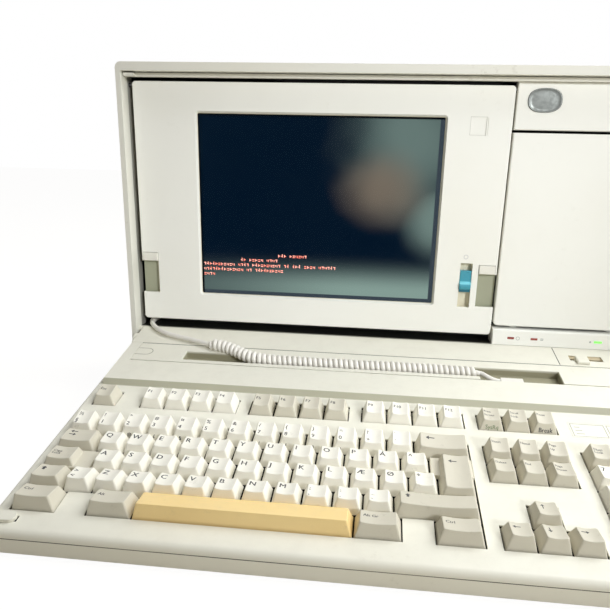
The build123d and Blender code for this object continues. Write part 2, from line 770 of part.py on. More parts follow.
with BuildPart() as display_bezel:
    with BuildSketch(Plane.XZ.offset(-panel_front)):
        with Locations((display_centre, (display_bottom + display_top) / 2)):
            RectangleRounded(display_width, display_top - display_bottom, bezel_radius)
    extrude(amount=-bezel_depth)
    chamfer(display_bezel.faces().sort_by(Axis.Y)[0].edges(), 0.8)
    block(
        (display_left + bezel_wall, display_right - bezel_wall),
        (panel_front + bezel_wall, bezel_back + 1),
        (display_bottom + bezel_wall, display_top - bezel_wall * 2),
        mode=Mode.SUBTRACT,
    )
    # screen opening with sloping reveals
    with BuildSketch(Plane.XZ.offset(-(panel_front - 0.001))):
        with Locations((screen_x, screen_z)):
            RectangleRounded(screen_width + 4, screen_height + 4, 3)
    extrude(amount=-(bezel_wall + 0.002), taper=30, mode=Mode.SUBTRACT)
    # recesses behind the latch buttons, the slider's slot and the bare label recess
    latch_slot = latch_width + 2 * latch_play
    for slot_x, slot_z, width, height in (
        (left_latch_x, latch_recess_middle, latch_slot, latch_recess_height),
        (right_latch_x, latch_recess_middle, latch_slot, latch_recess_height),
        (slider_x, slider_slot_middle, slider_slot_width, slider_slot_height),
    ):
        for margin, back, mode in ((tub_wall, tub_depth + tub_wall, Mode.ADD), (0, tub_depth, Mode.SUBTRACT)):
            block(
                (slot_x - width / 2 - margin, slot_x + width / 2 + margin),
                (panel_front + (bezel_wall / 2 if margin else -1), panel_front + back),
                (slot_z - height / 2 - margin, slot_z + height / 2 + margin),
                mode=mode,
            )
    # the latch recesses are open at the display's sides, below the buttons
    recess_low = latch_recess_middle - latch_recess_height / 2
    recess_high = latch_top - latch_height - latch_play
    for side_x, middle in ((display_left, left_latch_x), (display_right, right_latch_x)):
        block(sorted((side_x + (side_x - middle), middle)), (panel_front - 1, panel_front + tub_depth),
              (recess_low, recess_high), mode=Mode.SUBTRACT)
    with BuildSketch(Plane.XZ.offset(-panel_front)):
        with Locations((display_right - label_right, display_top - label_top)):
            RectangleRounded(label_width, label_height, 1)
    extrude(amount=-label_depth, mode=Mode.SUBTRACT)
    for pin in (pin_left, pin_right):
        rod(pin, pin_y, pin_z, tilt_pin_radius, mode=Mode.SUBTRACT)
save("display_bezel", display_bezel)

with BuildPart() as tilt_pins:
    for pin in (pin_left, pin_right):
        rod(pin, pin_y, pin_z, tilt_pin_radius)
save("tilt_pins", tilt_pins)

glass_front = panel_front + bezel_wall
with BuildPart() as display_glass:
    with Locations((screen_x, glass_front + glass_thickness / 2, screen_z)):
        Box(screen_width + panel_margin, glass_thickness, screen_height + panel_margin)
save("display_glass", display_glass)

with BuildPart() as plasma_panel:
    panel_y = glass_front + glass_thickness
    with Locations((screen_x, panel_y + panel_thickness / 2, screen_z)):
        Box(screen_width + panel_margin * 2, panel_thickness, screen_height + panel_margin * 2)
save("plasma_panel", plasma_panel)

with BuildPart() as display_back:
    back_low = display_bottom + back_inset
    back_high = display_top - back_inset * 2
    with BuildSketch(Plane.XZ.offset(-bezel_back)):
        with Locations((display_centre, (back_low + back_high) / 2)):
            RectangleRounded(display_width - 2 * back_inset, back_high - back_low, bezel_radius)
    extrude(amount=-back_depth)
    chamfer(display_back.faces().sort_by(Axis.Y)[-1].edges(), 2.0)
    block(
        (display_left + back_inset + bezel_wall, display_right - back_inset - bezel_wall),
        (bezel_back - 1, bezel_back + back_depth - bezel_wall),
        (back_low + bezel_wall, back_high - bezel_wall),
        mode=Mode.SUBTRACT,
    )
    # frame that presses the panel against the glass
    block(
        (screen_x - screen_width / 2 - panel_margin * 2, screen_x + screen_width / 2 + panel_margin * 2),
        (panel_y + panel_thickness, bezel_back + back_depth - bezel_wall),
        (screen_z - screen_height / 2 - panel_margin * 2, screen_z + screen_height / 2 + panel_margin * 2),
    )
    block(
        (screen_x - screen_width / 2, screen_x + screen_width / 2),
        (panel_y, bezel_back + back_depth - bezel_wall),
        (screen_z - screen_height / 2, screen_z + screen_height / 2),
        mode=Mode.SUBTRACT,
    )
save("display_back", display_back)

# a latch button at each side, at the top of its recess
for name, latch_middle in (("left_display_latch", left_latch_x), ("right_display_latch", right_latch_x)):
    with BuildPart() as display_latch:
        block(
            (latch_middle - latch_width / 2, latch_middle + latch_width / 2),
            (panel_front - latch_proud, panel_front + tub_depth - latch_play),
            (latch_top - latch_height, latch_top),
        )
        chamfer(display_latch.faces().sort_by(Axis.Y)[0].edges(), 0.5)
    save(name, display_latch)

with BuildPart() as brightness_slider:
    slider_low = slider_slot_middle - slider_slot_height / 2 + slider_lift
    with BuildSketch(Plane.YZ.offset(slider_x - slider_slot_width / 2 + latch_play)):
        with BuildLine():
            face_y = panel_front - latch_proud / 2
            Polyline(
                (face_y + 1.5, slider_low),
                (face_y, slider_low + slider_height * 0.2),
                (face_y + 0.9, slider_low + slider_height * 0.55),
                (face_y, slider_low + slider_height * 0.62),
                (face_y, slider_low + slider_height - 1),
                (face_y + 1.0, slider_low + slider_height),
                (panel_front + tub_depth - latch_play, slider_low + slider_height),
                (panel_front + tub_depth - latch_play, slider_low),
                close=True,
            )
        make_face()
    extrude(amount=slider_slot_width - 2 * latch_play)
save("brightness_slider", brightness_slider)

# ---------------------------------------------------------------- badge and indicators
panel_back = panel_front + bezel_depth
with BuildPart() as badge_panel:
    with BuildSketch(Plane.XZ.offset(-panel_front)):
        with Locations((column_centre, (badge_panel_bottom + strip_bottom) / 2)):
            Rectangle(column_right - column_left, badge_panel_height)
    extrude(amount=-bezel_depth)
    chamfer(badge_panel.faces().sort_by(Axis.Y)[0].edges(), 0.6)
    rod((column_left - 1, column_left + 5), pin_y, pin_z, tilt_pin_radius + running_fit, mode=Mode.SUBTRACT)
    # its ends run on to the case's side and the strip above
    block((column_right - 1, case_inner), (panel_front + 2, panel_back), (badge_panel_bottom, strip_bottom))
save("badge_panel", badge_panel)

badge_x = column_left + badge_left + badge_width / 2
badge_z = strip_bottom - badge_drop
with BuildPart() as badge_plate:
    with BuildSketch(Plane.XZ.offset(-(panel_front - badge_thickness))):
        with Locations((badge_x, badge_z)):
            Ellipse(badge_width / 2, badge_height / 2)
    extrude(amount=-badge_thickness)
save("badge_plate", badge_plate)

indicator_front = panel_front - indicator_lead
bay_pin_y = panel_front + bay_pin_setback
bay_pin_z = door_bottom + bay_pin_rise
lug_left = column_left + lug_inset
lug_right = column_right - lug_inset - bay_lug_width
lamp_z = indicator_bottom + lamp_rise
with BuildPart() as indicator_panel:
    with BuildSketch(Plane.YZ.offset(column_left)):
        with BuildLine():
            Polyline(
                (indicator_front, indicator_bottom),
                (indicator_front, indicator_top - 1),
                (indicator_front + 1, indicator_top),
                (panel_back + 4, indicator_top),
                (panel_back + 4, lip_top_rear),
                (indicator_front + 3, lip_top_rear),
                (indicator_front + 3, indicator_bottom),
                close=True,
            )
        make_face()
    extrude(amount=case_inner - column_left)
    # lugs for the bay's hinge pins
    for lug in (lug_left, lug_right):
        block(
            (lug, lug + bay_lug_width),
            (bay_pin_y - bay_pin_radius, bay_pin_y + bay_lug_radius),
            (indicator_top - 1, bay_pin_z),
        )
        rod((lug, lug + bay_lug_width), bay_pin_y, bay_pin_z, bay_lug_radius)
        rod((lug - 1, lug + bay_lug_width + 1), bay_pin_y, bay_pin_z, bay_pin_radius + running_fit,
            mode=Mode.SUBTRACT)
    for lamp_x, lamp_width in lamps:
        block(
            (column_left + lamp_x, column_left + lamp_x + lamp_width),
            (indicator_front - 1, indicator_front + lamp_depth),
            (lamp_z - lamp_height / 2, lamp_z + lamp_height / 2),
            mode=Mode.SUBTRACT,
        )
save("indicator_panel", indicator_panel)

with BuildPart() as indicator_lenses:
    for lamp_x, lamp_width in lamps:
        block(
            (column_left + lamp_x, column_left + lamp_x + lamp_width),
            (indicator_front - 0.3, indicator_front + lamp_depth),
            (lamp_z - lamp_height / 2, lamp_z + lamp_height / 2),
        )
save("indicator_lenses", indicator_lenses)

# ---------------------------------------------------------------- drive bay
with BuildPart() as bay_door:
    with BuildSketch(Plane.XZ.offset(-panel_front)):
        with Locations((column_centre, (door_bottom + door_top) / 2)):
            RectangleRounded(column_right - column_left, door_top - door_bottom, door_radius)
        with Locations((column_centre, door_top - door_radius)):
            Rectangle(column_right - column_left, 2 * door_radius)
    extrude(amount=-door_flange)
    chamfer(bay_door.faces().sort_by(Axis.Y)[0].edges(), 0.8)
    block(
        (column_left + door_wall, column_right - door_wall),
        (panel_front + door_wall, panel_front + door_flange + 1),
        (door_bottom - 1, door_top - door_wall),
        mode=Mode.SUBTRACT,
    )
    # hinge ears beside the fixed lugs
    for ear in (lug_left - lug_gap - door_wall, lug_right + bay_lug_width + lug_gap):
        block(
            (ear, ear + door_wall),
            (panel_front + 1, bay_pin_y + bay_lug_radius),
            (bay_pin_z, bay_pin_z + 2 * bay_lug_radius),
        )
        rod((ear, ear + door_wall), bay_pin_y, bay_pin_z, bay_lug_radius)
        rod((ear - 1, ear + door_wall + 1), bay_pin_y, bay_pin_z, bay_pin_radius, mode=Mode.SUBTRACT)
save("bay_door", bay_door)

with BuildPart() as bay_pins:
    rod((lug_left - lug_gap - door_wall, lug_left + bay_lug_width), bay_pin_y, bay_pin_z, bay_pin_radius)
    rod((lug_right, lug_right + bay_lug_width + lug_gap + door_wall), bay_pin_y, bay_pin_z, bay_pin_radius)
save("bay_pins", bay_pins)

drive_left = column_centre - drive_width / 2
drive_low = door_bottom + drive_rise
drive_front = panel_front + door_wall
eject_x = drive_left + drive_width - 18
with BuildPart() as diskette_drive:
    with Locations((column_centre, drive_front + drive_thickness / 2, drive_low + drive_length / 2)):
        Box(drive_width, drive_thickness, drive_length)
    chamfer(diskette_drive.edges().filter_by(Axis.Z), 1.0)
    # mouth for the diskette, with a finger notch, and the eject button's pocket
    drive_high = drive_low + drive_length
    mouth_y = drive_front + drive_thickness * 0.4
    block(
        (column_centre - drive_slot_width / 2, column_centre + drive_slot_width / 2),
        (mouth_y - drive_slot / 2, mouth_y + drive_slot / 2),
        (drive_high - drive_slot_reach, drive_high + 1),
        mode=Mode.SUBTRACT,
    )
    with Locations(Location((column_centre, mouth_y, drive_high), (90, 0, 0))):
        Cylinder(11, drive_slot * 2, mode=Mode.SUBTRACT)
    block(
        (eject_x - eject_width / 2 - latch_play, eject_x + eject_width / 2 + latch_play),
        (mouth_y + 5 - latch_play, mouth_y + 5 + eject_height + latch_play),
        (drive_high - 12, drive_high + 1),
        mode=Mode.SUBTRACT,
    )
save("diskette_drive", diskette_drive)

with BuildPart() as eject_button:
    block(
        (eject_x - eject_width / 2, eject_x + eject_width / 2),
        (mouth_y + 5, mouth_y + 5 + eject_height),
        (drive_high - 12 + eject_travel + latch_play, drive_high + eject_travel + 0.5),
    )
    chamfer(eject_button.faces().sort_by(Axis.Z)[-1].edges(), 0.6)
save("eject_button", eject_button)

# ---------------------------------------------------------------- release lever
with BuildPart() as release_lever:
    lever_left = lever_slot_left + lever_clearance + lever_rest
    lever_side = (lever_left, lever_left + lever_width)
    neck = (lever_front + lever_clearance, lever_front + lever_clearance + lever_neck)
    foot_top = plateau_height - lip_wall - lever_clearance
    knob_base = plateau_height + lever_clearance
    # knob, neck and the foot that slides under the lip
    deck_block(lever_side, (neck[1] - lever_knob_depth, neck[1]), (knob_base, knob_base + lever_knob))
    chamfer(release_lever.faces().sort_by(Axis.Z)[-1].edges(), 0.7)
    deck_block(lever_side, neck, (foot_top - lever_foot, knob_base + 0.5))
    deck_block(lever_side, (neck[0] - lever_foot, neck[1] + lever_foot), (foot_top - lever_foot, foot_top))
save("release_lever", release_lever)

# ---------------------------------------------------------------- keyboard shells
sweep_radius = barrel_radius + barrel_clearance
deck_left = deck_centre - keyboard_half
plateau_left = deck_centre - plateau_half
ridge_y = key_rows * key_pitch + ridge_front
shell_rear = key_rows * key_pitch + keyboard_rear
tray_left = plateau_left + arm_width
hinge_at = (key_to_hinge, -deck_over_hinge)


def deck_rod(x_range, radius, mode=Mode.ADD):
    """A round rod on the hinge axis, with its ends given in the deck's frame."""
    shifted = [x - deck_centre for x in x_range]
    rod(shifted, hinge_y, hinge_height, radius, mode=mode)


# wells for the key groups, as left, right, front, back in key pitches
wells = [
    (0, 15, 1, 5), (0, 1.5, 0, 1), (2.5, 12.5, 0, 1), (13.5, 15, 0, 1),
    (0, 1, 6, 7), (2, 6, 6, 7), (6.5, 10.5, 6, 7), (11, 15, 6, 7), (15.5, 18.5, 6, 7),
    (15.5, 18.5, 3, 5), (15.5, 18.5, 0, 1), (16.5, 17.5, 1, 2), (19, 23, 0, 5),
]

with BuildPart() as keyboard_top:
    with BuildSketch(deck_side.offset(deck_left)):
        with BuildLine():
            Polyline((-front_margin, -edge_radius), (-front_margin, -shell_seam), (key_to_hinge, -shell_seam),
                     (key_to_hinge, 0), (edge_radius - front_margin, 0))
            RadiusArc((edge_radius - front_margin, 0), (-front_margin, -edge_radius), -edge_radius)
        make_face()
        with Locations(hinge_at):
            Circle(sweep_radius, mode=Mode.SUBTRACT)
    extrude(amount=2 * keyboard_half)
    # rounded long sides
    with BuildSketch(deck_front):
        with Locations((deck_centre, -shell_seam)):
            RectangleRounded(2 * keyboard_half, 2 * shell_seam, side_radius)
    extrude(amount=-(key_to_hinge + front_margin), mode=Mode.INTERSECT)
    # raised strip behind the keys
    with BuildSketch(deck_side.offset(plateau_left)):
        with BuildLine():
            Polyline((ridge_y, -1), (ridge_y, 0), (ridge_y + ridge_run, plateau_height),
                     (key_to_hinge, plateau_height), (key_to_hinge, -1), close=True)
        make_face()
        with Locations(hinge_at):
            Circle(sweep_radius, mode=Mode.SUBTRACT)
    extrude(amount=2 * plateau_half)
    # hollow underneath
    hollow_left = deck_left + shell_wall
    hollow_right = 2 * deck_centre - hollow_left
    deck_block((hollow_left, hollow_right), (shell_wall - front_margin, shell_rear - shell_wall),
               (-shell_seam - 1, -shell_wall), mode=Mode.SUBTRACT)
    deck_block((plateau_left + shell_wall, plateau_left + 2 * plateau_half - shell_wall),
               (ridge_y + ridge_run, shell_rear - shell_wall),
               (-shell_wall - 1, plateau_height - shell_wall), mode=Mode.SUBTRACT)
    # bay for the cord tray between the arms
    deck_block((tray_left, 2 * deck_centre - tray_left), (shell_rear, key_to_hinge + 1),
               (-deck_thickness, plateau_height + 1), mode=Mode.SUBTRACT)
    for left, right, front, back in wells:
        deck_block((left * key_pitch - well_margin, right * key_pitch + well_margin),
                   (front * key_pitch - well_margin, back * key_pitch + well_margin),
                   (-shell_seam, 1), mode=Mode.SUBTRACT)
    # groove between the shells, along the front and the sides
    groove_depth, groove_height = seam_groove
    groove_rear = key_to_hinge - ear_root - groove_depth
    deck_right = 2 * deck_centre - deck_left
    for left, right, back in (
        (deck_left - 1, deck_right + 1, groove_depth - front_margin),
        (deck_left - 1, deck_left + groove_depth, groove_rear),
        (deck_right - groove_depth, deck_right + 1, groove_rear),
    ):
        deck_block((left, right), (-front_margin - 1, back), (-shell_seam - 1, groove_height - shell_seam),
                   mode=Mode.SUBTRACT)
    # recess for the lamp window, seats of the latch tabs, socket for the cord's plug
    deck_block((window_start * key_pitch, key_field), (window_front, window_front + window_depth),
               (-window_sheet, 1), mode=Mode.SUBTRACT)
    for inward, tab_middle in zip((1, -1), latch_tab_middles):
        outer_end = tab_middle - inward * (latch_stem[0] / 2 + latch_play)
        inner_end = tab_middle + inward * (latch_stem[0] / 2 + latch_tab_travel + latch_play)
        deck_block(sorted((outer_end, inner_end)),
                   (-latch_tab_front - latch_stem[1] / 2 - latch_play,
                    -latch_tab_front + latch_stem[1] / 2 + latch_play),
                   (-shell_seam, 1), mode=Mode.SUBTRACT)
    deck_block((plug_left + plug_nose - latch_play, plug_left + plug_width - plug_nose + latch_play),
               (shell_rear - shell_wall - 1, shell_rear + 1),
               (-shell_seam, plug_top - plug_shoulder + 0.2), mode=Mode.SUBTRACT)
save("keyboard_top", keyboard_top)

ear_outer = keyboard_half - ear_clearance
ear_inner = lip_half + ear_clearance
with BuildPart() as keyboard_base:
    floor_z = -deck_thickness
    for outline_wall, mode in ((0, Mode.ADD), (shell_wall, Mode.SUBTRACT)):
        low = floor_z + outline_wall
        corner = base_round if mode == Mode.ADD else 0.5
        with BuildSketch(deck_side.offset(deck_left + outline_wall)):
            with BuildLine():
                front = outline_wall - front_margin
                Polyline((front, low + corner), (front, -shell_seam), (key_to_hinge, -shell_seam),
                         (key_to_hinge, low), (front + corner, low))
                RadiusArc((front + corner, low), (front, low + corner), corner)
            make_face()
            with Locations(hinge_at):
                Circle(sweep_radius + outline_wall, mode=Mode.SUBTRACT)
        extrude(amount=2 * (keyboard_half - outline_wall), mode=mode)
    # ribs under the key plate, and walls under the shell's rear
    for rib_row in (0, 2, 5.5, 7):
        deck_block((deck_left + shell_wall - 0.1, 2 * deck_centre - deck_left - shell_wall + 0.1),
                   (rib_row * key_pitch - rib_thickness / 2, rib_row * key_pitch + rib_thickness / 2),
                   (floor_z + shell_wall - 0.1, -plate_depth - plate_thickness))
    # ears that carry the hinge pins at the ends of the barrel
    for side in (-1, 1):
        ear = sorted((deck_centre + side * ear_inner, deck_centre + side * ear_outer))
        with BuildSketch(deck_side.offset(ear[0])):
            with Locations(hinge_at):
                Circle(ear_radius)
            with BuildLine():
                Polyline((key_to_hinge - ear_root, -deck_over_hinge - ear_radius),
                         (key_to_hinge, -deck_over_hinge - ear_radius),
                         (key_to_hinge, -shell_seam), (key_to_hinge - ear_root, -shell_seam), close=True)
            make_face()
        extrude(amount=ear[1] - ear[0])
        deck_rod((ear[0] - 1, ear[1] + 1), hinge_pin_radius, mode=Mode.SUBTRACT)
save("keyboard_base", keyboard_base)

with BuildPart() as hinge_pins:
    for side in (-1, 1):
        pin = sorted((side * (lip_half - hinge_pin_reach + 0.5), side * ear_outer))
        rod(pin, hinge_y, hinge_height, hinge_pin_radius)
save("hinge_pins", hinge_pins)

with BuildPart() as cord_tray:
    tray = (tray_left + 0.2, 2 * deck_centre - tray_left - 0.2)
    tray_front = shell_rear + seam_gap
    trough_y = key_rows * key_pitch + trough_front
    trough_floor = plateau_height - trough_depth
    with BuildSketch(deck_side.offset(tray[0])):
        with BuildLine():
            Polyline((tray_front, -shell_seam), (key_to_hinge, -shell_seam), (key_to_hinge, plateau_height),
                     (tray_front, plateau_height), close=True)
        make_face()
        with Locations(hinge_at):
            Circle(sweep_radius, mode=Mode.SUBTRACT)
    extrude(amount=tray[1] - tray[0])
    # trough for the coiled cord, open to the keyboard's rear beside the plug
    deck_block((trough_left, trough_right), (trough_y, trough_y + trough_width),
               (trough_floor, plateau_height + 1), mode=Mode.SUBTRACT)
    deck_block((plug_bay_left, trough_right), (tray_front - 1, trough_y + 1),
               (trough_floor, plateau_height + 1), mode=Mode.SUBTRACT)
save("cord_tray", cord_tray)

with BuildPart() as status_window:
    deck_block((window_start * key_pitch + 0.2, key_field - 0.2),
               (window_front + 0.2, window_front + window_depth - 0.2), (-window_sheet, 0))
save("status_window", status_window)

with BuildPart() as keyboard_feet:
    for left in (deck_left + foot_pad_side, 2 * deck_centre - deck_left - foot_pad_side - foot_pad_width):
        with BuildSketch(deck_side.offset(left)):
            with BuildLine():
                front_y, back_y = -foot_pad_front, foot_pad_depth - foot_pad_front
                Polyline((front_y, floor_z), (back_y, floor_z), (back_y, table_in_deck(back_y)),
                         (front_y, table_in_deck(front_y)), close=True)
            make_face()
        extrude(amount=foot_pad_width)
save("keyboard_feet", keyboard_feet)

for name, tab_middle in zip(("left_keyboard_latch", "right_keyboard_latch"), latch_tab_middles):
    with BuildPart() as keyboard_latch:
        with BuildSketch(deck.offset(0.05)):
            with Locations((tab_middle, -latch_tab_front)):
                SlotOverall(latch_tab[0], latch_tab[1])
        extrude(amount=latch_tab[2])
        deck_block((tab_middle - latch_stem[0] / 2, tab_middle + latch_stem[0] / 2),
                   (-latch_tab_front - latch_stem[1] / 2, -latch_tab_front + latch_stem[1] / 2),
                   (-shell_wall - 1.2, 0.5))
        deck_block((tab_middle - latch_stem[0] / 2, tab_middle + latch_stem[0] / 2),
                   (-latch_tab_front - latch_stem[1] / 2 - 1.2, -latch_tab_front + latch_stem[1] / 2 + 1.2),
                   (-shell_wall - 1.2, -shell_wall - 0.1))
    save(name, keyboard_latch)

# ---------------------------------------------------------------- keys
def key_cap(width, depth, front_height, rear_height):
    """One tapered key cap whose cell has its front-left corner at the origin; sizes in key pitches."""
    wide, deep = width * key_pitch, depth * key_pitch
    top_front, top_rear = key_front_slope, deep - key_rear_slope
    with BuildPart() as cap:
        with BuildSketch(Plane.YZ.offset(key_gap)):
            with BuildLine():
                Polyline((key_gap, -key_sink), (deep - key_gap, -key_sink), (top_rear, rear_height),
                         (top_front, front_height), close=True)
            make_face()
        extrude(amount=wide - 2 * key_gap)
        with BuildSketch(Plane.XZ):
            with BuildLine():
                tall = max(front_height, rear_height)
                Polyline((key_gap, -key_sink), (wide - key_gap, -key_sink),
                         (wide - key_taper, tall), (key_taper, tall), close=True)
            make_face()
        extrude(amount=-deep, mode=Mode.INTERSECT)
        if width < 3:
            # shallow dish along the cap
            half_width = wide / 2 - key_taper
            dish_radius = (half_width**2 + key_dish**2) / (2 * key_dish)
            slope = (rear_height - front_height) / (top_rear - top_front)
            middle = (front_height + rear_height) / 2 + dish_radius - key_dish
            with Locations(Location((wide / 2, deep / 2, middle), (90 + degrees(atan(slope)), 0, 0))):
                Cylinder(dish_radius, 2 * deep, mode=Mode.SUBTRACT)
        with Locations((wide / 2, deep / 2, -stem_depth / 2 - key_sink / 2)):
            Box(stem_size, stem_size, stem_depth - key_sink)
    return cap.part


def key_run(column, row, count, width=1.0):
    """Keys side by side: column, row, width and depth of each, in key pitches."""
    return [(column + index * width, row, width, 1.0) for index in range(count)]


key_groups = {
    "escape_key": key_run(0, 6, 1),
    "function_keys": key_run(2, 6, 4) + key_run(6.5, 6, 4) + key_run(11, 6, 4),
    "digit_keys": key_run(0, 4, 13),
    "upper_letter_keys": key_run(1.5, 3, 12),
    "home_letter_keys": key_run(1.75, 2, 12),
    "lower_letter_keys": key_run(1.25, 1, 11),
    "modifier_keys": [
        (13, 4, 2, 1), (0, 3, 1.5, 1), (0, 2, 1.25, 1), (0, 1, 1.25, 1), (12.25, 1, 2.75, 1),
        (0, 0, 1.5, 1), (2.5, 0, 1.5, 1), (11, 0, 1.5, 1), (13.5, 0, 1.5, 1),
    ],
    "enter_key": [(13.75, 2, 1.25, 2)],
    "space_bar": [(4, 0, 7, 1)],
    "system_keys": key_run(15.5, 6, 3),
    "edit_keys": key_run(15.5, 4, 3) + key_run(15.5, 3, 3),
    "arrow_keys": key_run(15.5, 0, 3) + key_run(16.5, 1, 1),
    "numpad_keys": key_run(19, 4, 4) + key_run(19, 3, 3) + key_run(19, 2, 3) + key_run(19, 1, 3)
    + [(22, 2, 1, 2), (22, 0, 1, 2), (19, 0, 2, 1), (21, 0, 1, 1)],
}

key_ledges = {"modifier_keys": [(0, 1.75, 2)], "enter_key": [(13.5, 15, 3)]}

cap_shapes = {}
for name, keys in key_groups.items():
    with BuildPart() as group:
        for column, row, width, depth in keys:
            rear_row = int(row + depth - 1)
            shape = (width, depth, row_front_height[row], row_rear_height[rear_row])
            if shape not in cap_shapes:
                cap_shapes[shape] = key_cap(*shape)
            with Locations(deck.location * Location((column * key_pitch, row * key_pitch, 0))):
                add(cap_shapes[shape])
        # low ledges beside the raised part of two wide keys
        for left, right, row in key_ledges.get(name, ()):
            deck_block((left * key_pitch + key_gap, right * key_pitch - key_gap),
                       (row * key_pitch + key_gap, (row + 1) * key_pitch - key_gap),
                       (-key_sink, ledge_height))
    save(name, group)

with BuildPart() as key_plate:
    deck_block((-2, key_field + 2), (-2, key_rows * key_pitch + 2),
               (-plate_depth - plate_thickness, -plate_depth))
    hole = stem_size + 2 * stem_clearance
    stem_places = [
        ((column + width / 2) * key_pitch, (row + depth / 2) * key_pitch)
        for keys in key_groups.values()
        for column, row, width, depth in keys
    ]
    with BuildSketch(deck.offset(-plate_depth)):
        with Locations(*stem_places):
            Rectangle(hole, hole)
    extrude(amount=-plate_thickness, mode=Mode.SUBTRACT)
save("key_plate", key_plate)

# ---------------------------------------------------------------- keyboard cord
with BuildPart() as cord_grommet:
    with BuildSketch(Plane.XZ.offset(-cord_exit[1])):
        with Locations((cord_exit[0], cord_exit[2])):
            Circle(grommet_flange)
            Circle(cord_radius, mode=Mode.SUBTRACT)
    extrude(amount=-grommet_lip)
    with BuildSketch(Plane.XZ.offset(-(cord_exit[1] + grommet_lip))):
        with Locations((cord_exit[0], cord_exit[2])):
            Circle(grommet_neck)
            Circle(cord_radius, mode=Mode.SUBTRACT)
    extrude(amount=-lip_wall)
save("cord_grommet", cord_grommet)


def smooth_path(points, share=0.45):
    """Straight runs joined by tangent arcs, each as large as its two runs allow."""
    vectors = [Vector(*point) for point in points]
    runs = [second - first for first, second in zip(vectors, vectors[1:])]
    radii = []
    for before, after in zip(runs, runs[1:]):
        turn = radians(before.get_angle(after))
        radii.append(share * min(before.length, after.length) / tan(turn / 2))
    print("arc radii", [round(radius, 1) for radius in radii])
    return FilletPolyline(*vectors, radius=radii)


def deck_points(points):
    """Points in the deck's frame, as points in the row frame."""
    return [deck.from_local_coords(point) for point in points]


def tube(points, radius):
    """A tube of twelve sides along the path through the points."""
    with BuildPart() as piece:
        with BuildLine() as path:
            smooth_path(points)
        with BuildSketch(Plane(origin=path.line @ 0, z_dir=path.line % 0)):
            RegularPolygon(radius, tube_sides)
        sweep(path=path.line)
    return piece.part


coil_start = (70.0, 203.5, 9.4)
coil_points = [coil_start, (84.0, 200.6, 9.7), (95.0, 196.8, 9.2), (105.0, 193.8, 6.9), (115.0, 192.6, 4.2),
               (122.0, 192.4, 3.1)]
coil_rest = [(123.2, 192.4, 2.9), (150.0, 192.6, 2.6), (205.0, 192.2, 2.5), (260.0, 192.5, 2.6),
             (305.0, 192.0, 2.6)]
lead_points = [
    Vector(*cord_exit),
    deck.from_local_coords((-0.3, 257.5, 4.4)),
    deck.from_local_coords((1.0, 249.0, 5.8)),
    deck.from_local_coords((6.0, 240.0, 7.1)),
    deck.from_local_coords((14.5, 230.8, 7.2)),
    deck.from_local_coords((26.0, 223.6, 7.2)),
    deck.from_local_coords((40.0, 218.6, 7.2)),
    deck.from_local_coords((53.0, 213.6, 7.3)),
    deck.from_local_coords((63.0, 207.0, 8.6)),
    deck.from_local_coords(coil_start),
]
tail_points = [(307.3, 191.2, 2.6), (311.0, 187.2, 2.3), (315.5, 184.4, 1.2), (321.3, 183.5, 0.3)]

with BuildPart() as cord_lead:
    add(tube(lead_points, cord_radius))
    add(tube(deck_points(coil_points), coil_radius))
save("cord_lead", cord_lead)
with BuildPart() as cord_coil:
    add(tube(deck_points(coil_rest), coil_radius))
save("cord_coil", cord_coil)
with BuildPart() as cord_tail:
    add(tube(deck_points(tail_points), cord_radius))
save("cord_tail", cord_tail)
with BuildPart() as cord_plug:
    deck_block((plug_left, plug_left + plug_width), (shell_rear + 0.1, shell_rear + 0.1 + plug_depth),
               (plug_top - plug_height, plug_top))
    chamfer(cord_plug.edges().filter_by(Axis.X), 0.8)
    deck_block((plug_left + plug_nose, plug_left + plug_width - plug_nose),
               (shell_rear - plug_nose_depth, shell_rear + 1),
               (plug_top - plug_height + 1, plug_top - plug_shoulder))
save("cord_plug", cord_plug)
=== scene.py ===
"""Dresses a packed vintage luggable computer: case, tilting display, drive bay, keyboard, keys and cord."""

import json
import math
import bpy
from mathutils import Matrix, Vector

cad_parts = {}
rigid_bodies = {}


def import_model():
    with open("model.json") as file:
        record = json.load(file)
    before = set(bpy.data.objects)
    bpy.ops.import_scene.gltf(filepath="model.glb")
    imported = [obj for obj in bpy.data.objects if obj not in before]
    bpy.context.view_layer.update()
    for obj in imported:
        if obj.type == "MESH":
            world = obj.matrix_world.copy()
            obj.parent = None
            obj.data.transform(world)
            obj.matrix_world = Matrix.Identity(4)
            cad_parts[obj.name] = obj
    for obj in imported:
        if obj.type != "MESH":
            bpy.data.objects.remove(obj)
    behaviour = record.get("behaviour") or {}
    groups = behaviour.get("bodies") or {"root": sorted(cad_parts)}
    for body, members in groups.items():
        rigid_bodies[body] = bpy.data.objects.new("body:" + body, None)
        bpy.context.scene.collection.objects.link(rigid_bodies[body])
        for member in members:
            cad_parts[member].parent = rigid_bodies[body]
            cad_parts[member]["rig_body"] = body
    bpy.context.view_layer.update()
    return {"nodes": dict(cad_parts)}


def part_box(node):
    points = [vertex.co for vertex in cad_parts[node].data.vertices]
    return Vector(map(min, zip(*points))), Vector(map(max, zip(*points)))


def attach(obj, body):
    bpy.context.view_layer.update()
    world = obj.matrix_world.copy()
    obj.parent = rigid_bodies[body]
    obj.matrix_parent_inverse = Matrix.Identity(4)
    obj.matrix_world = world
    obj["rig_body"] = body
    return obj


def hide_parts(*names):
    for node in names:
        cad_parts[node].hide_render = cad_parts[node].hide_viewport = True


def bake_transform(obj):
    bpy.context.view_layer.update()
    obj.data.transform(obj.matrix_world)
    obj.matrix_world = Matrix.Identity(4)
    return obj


bl_info = {
    "name": "Vintage luggable computer",
    "version": (1, 0, 0),
    "blender": (4, 5, 0),
    "location": "View3D > Sidebar > Luggable",
    "description": "Builds the visible pieces of a luggable computer around its packed solids",
    "category": "Object",
}

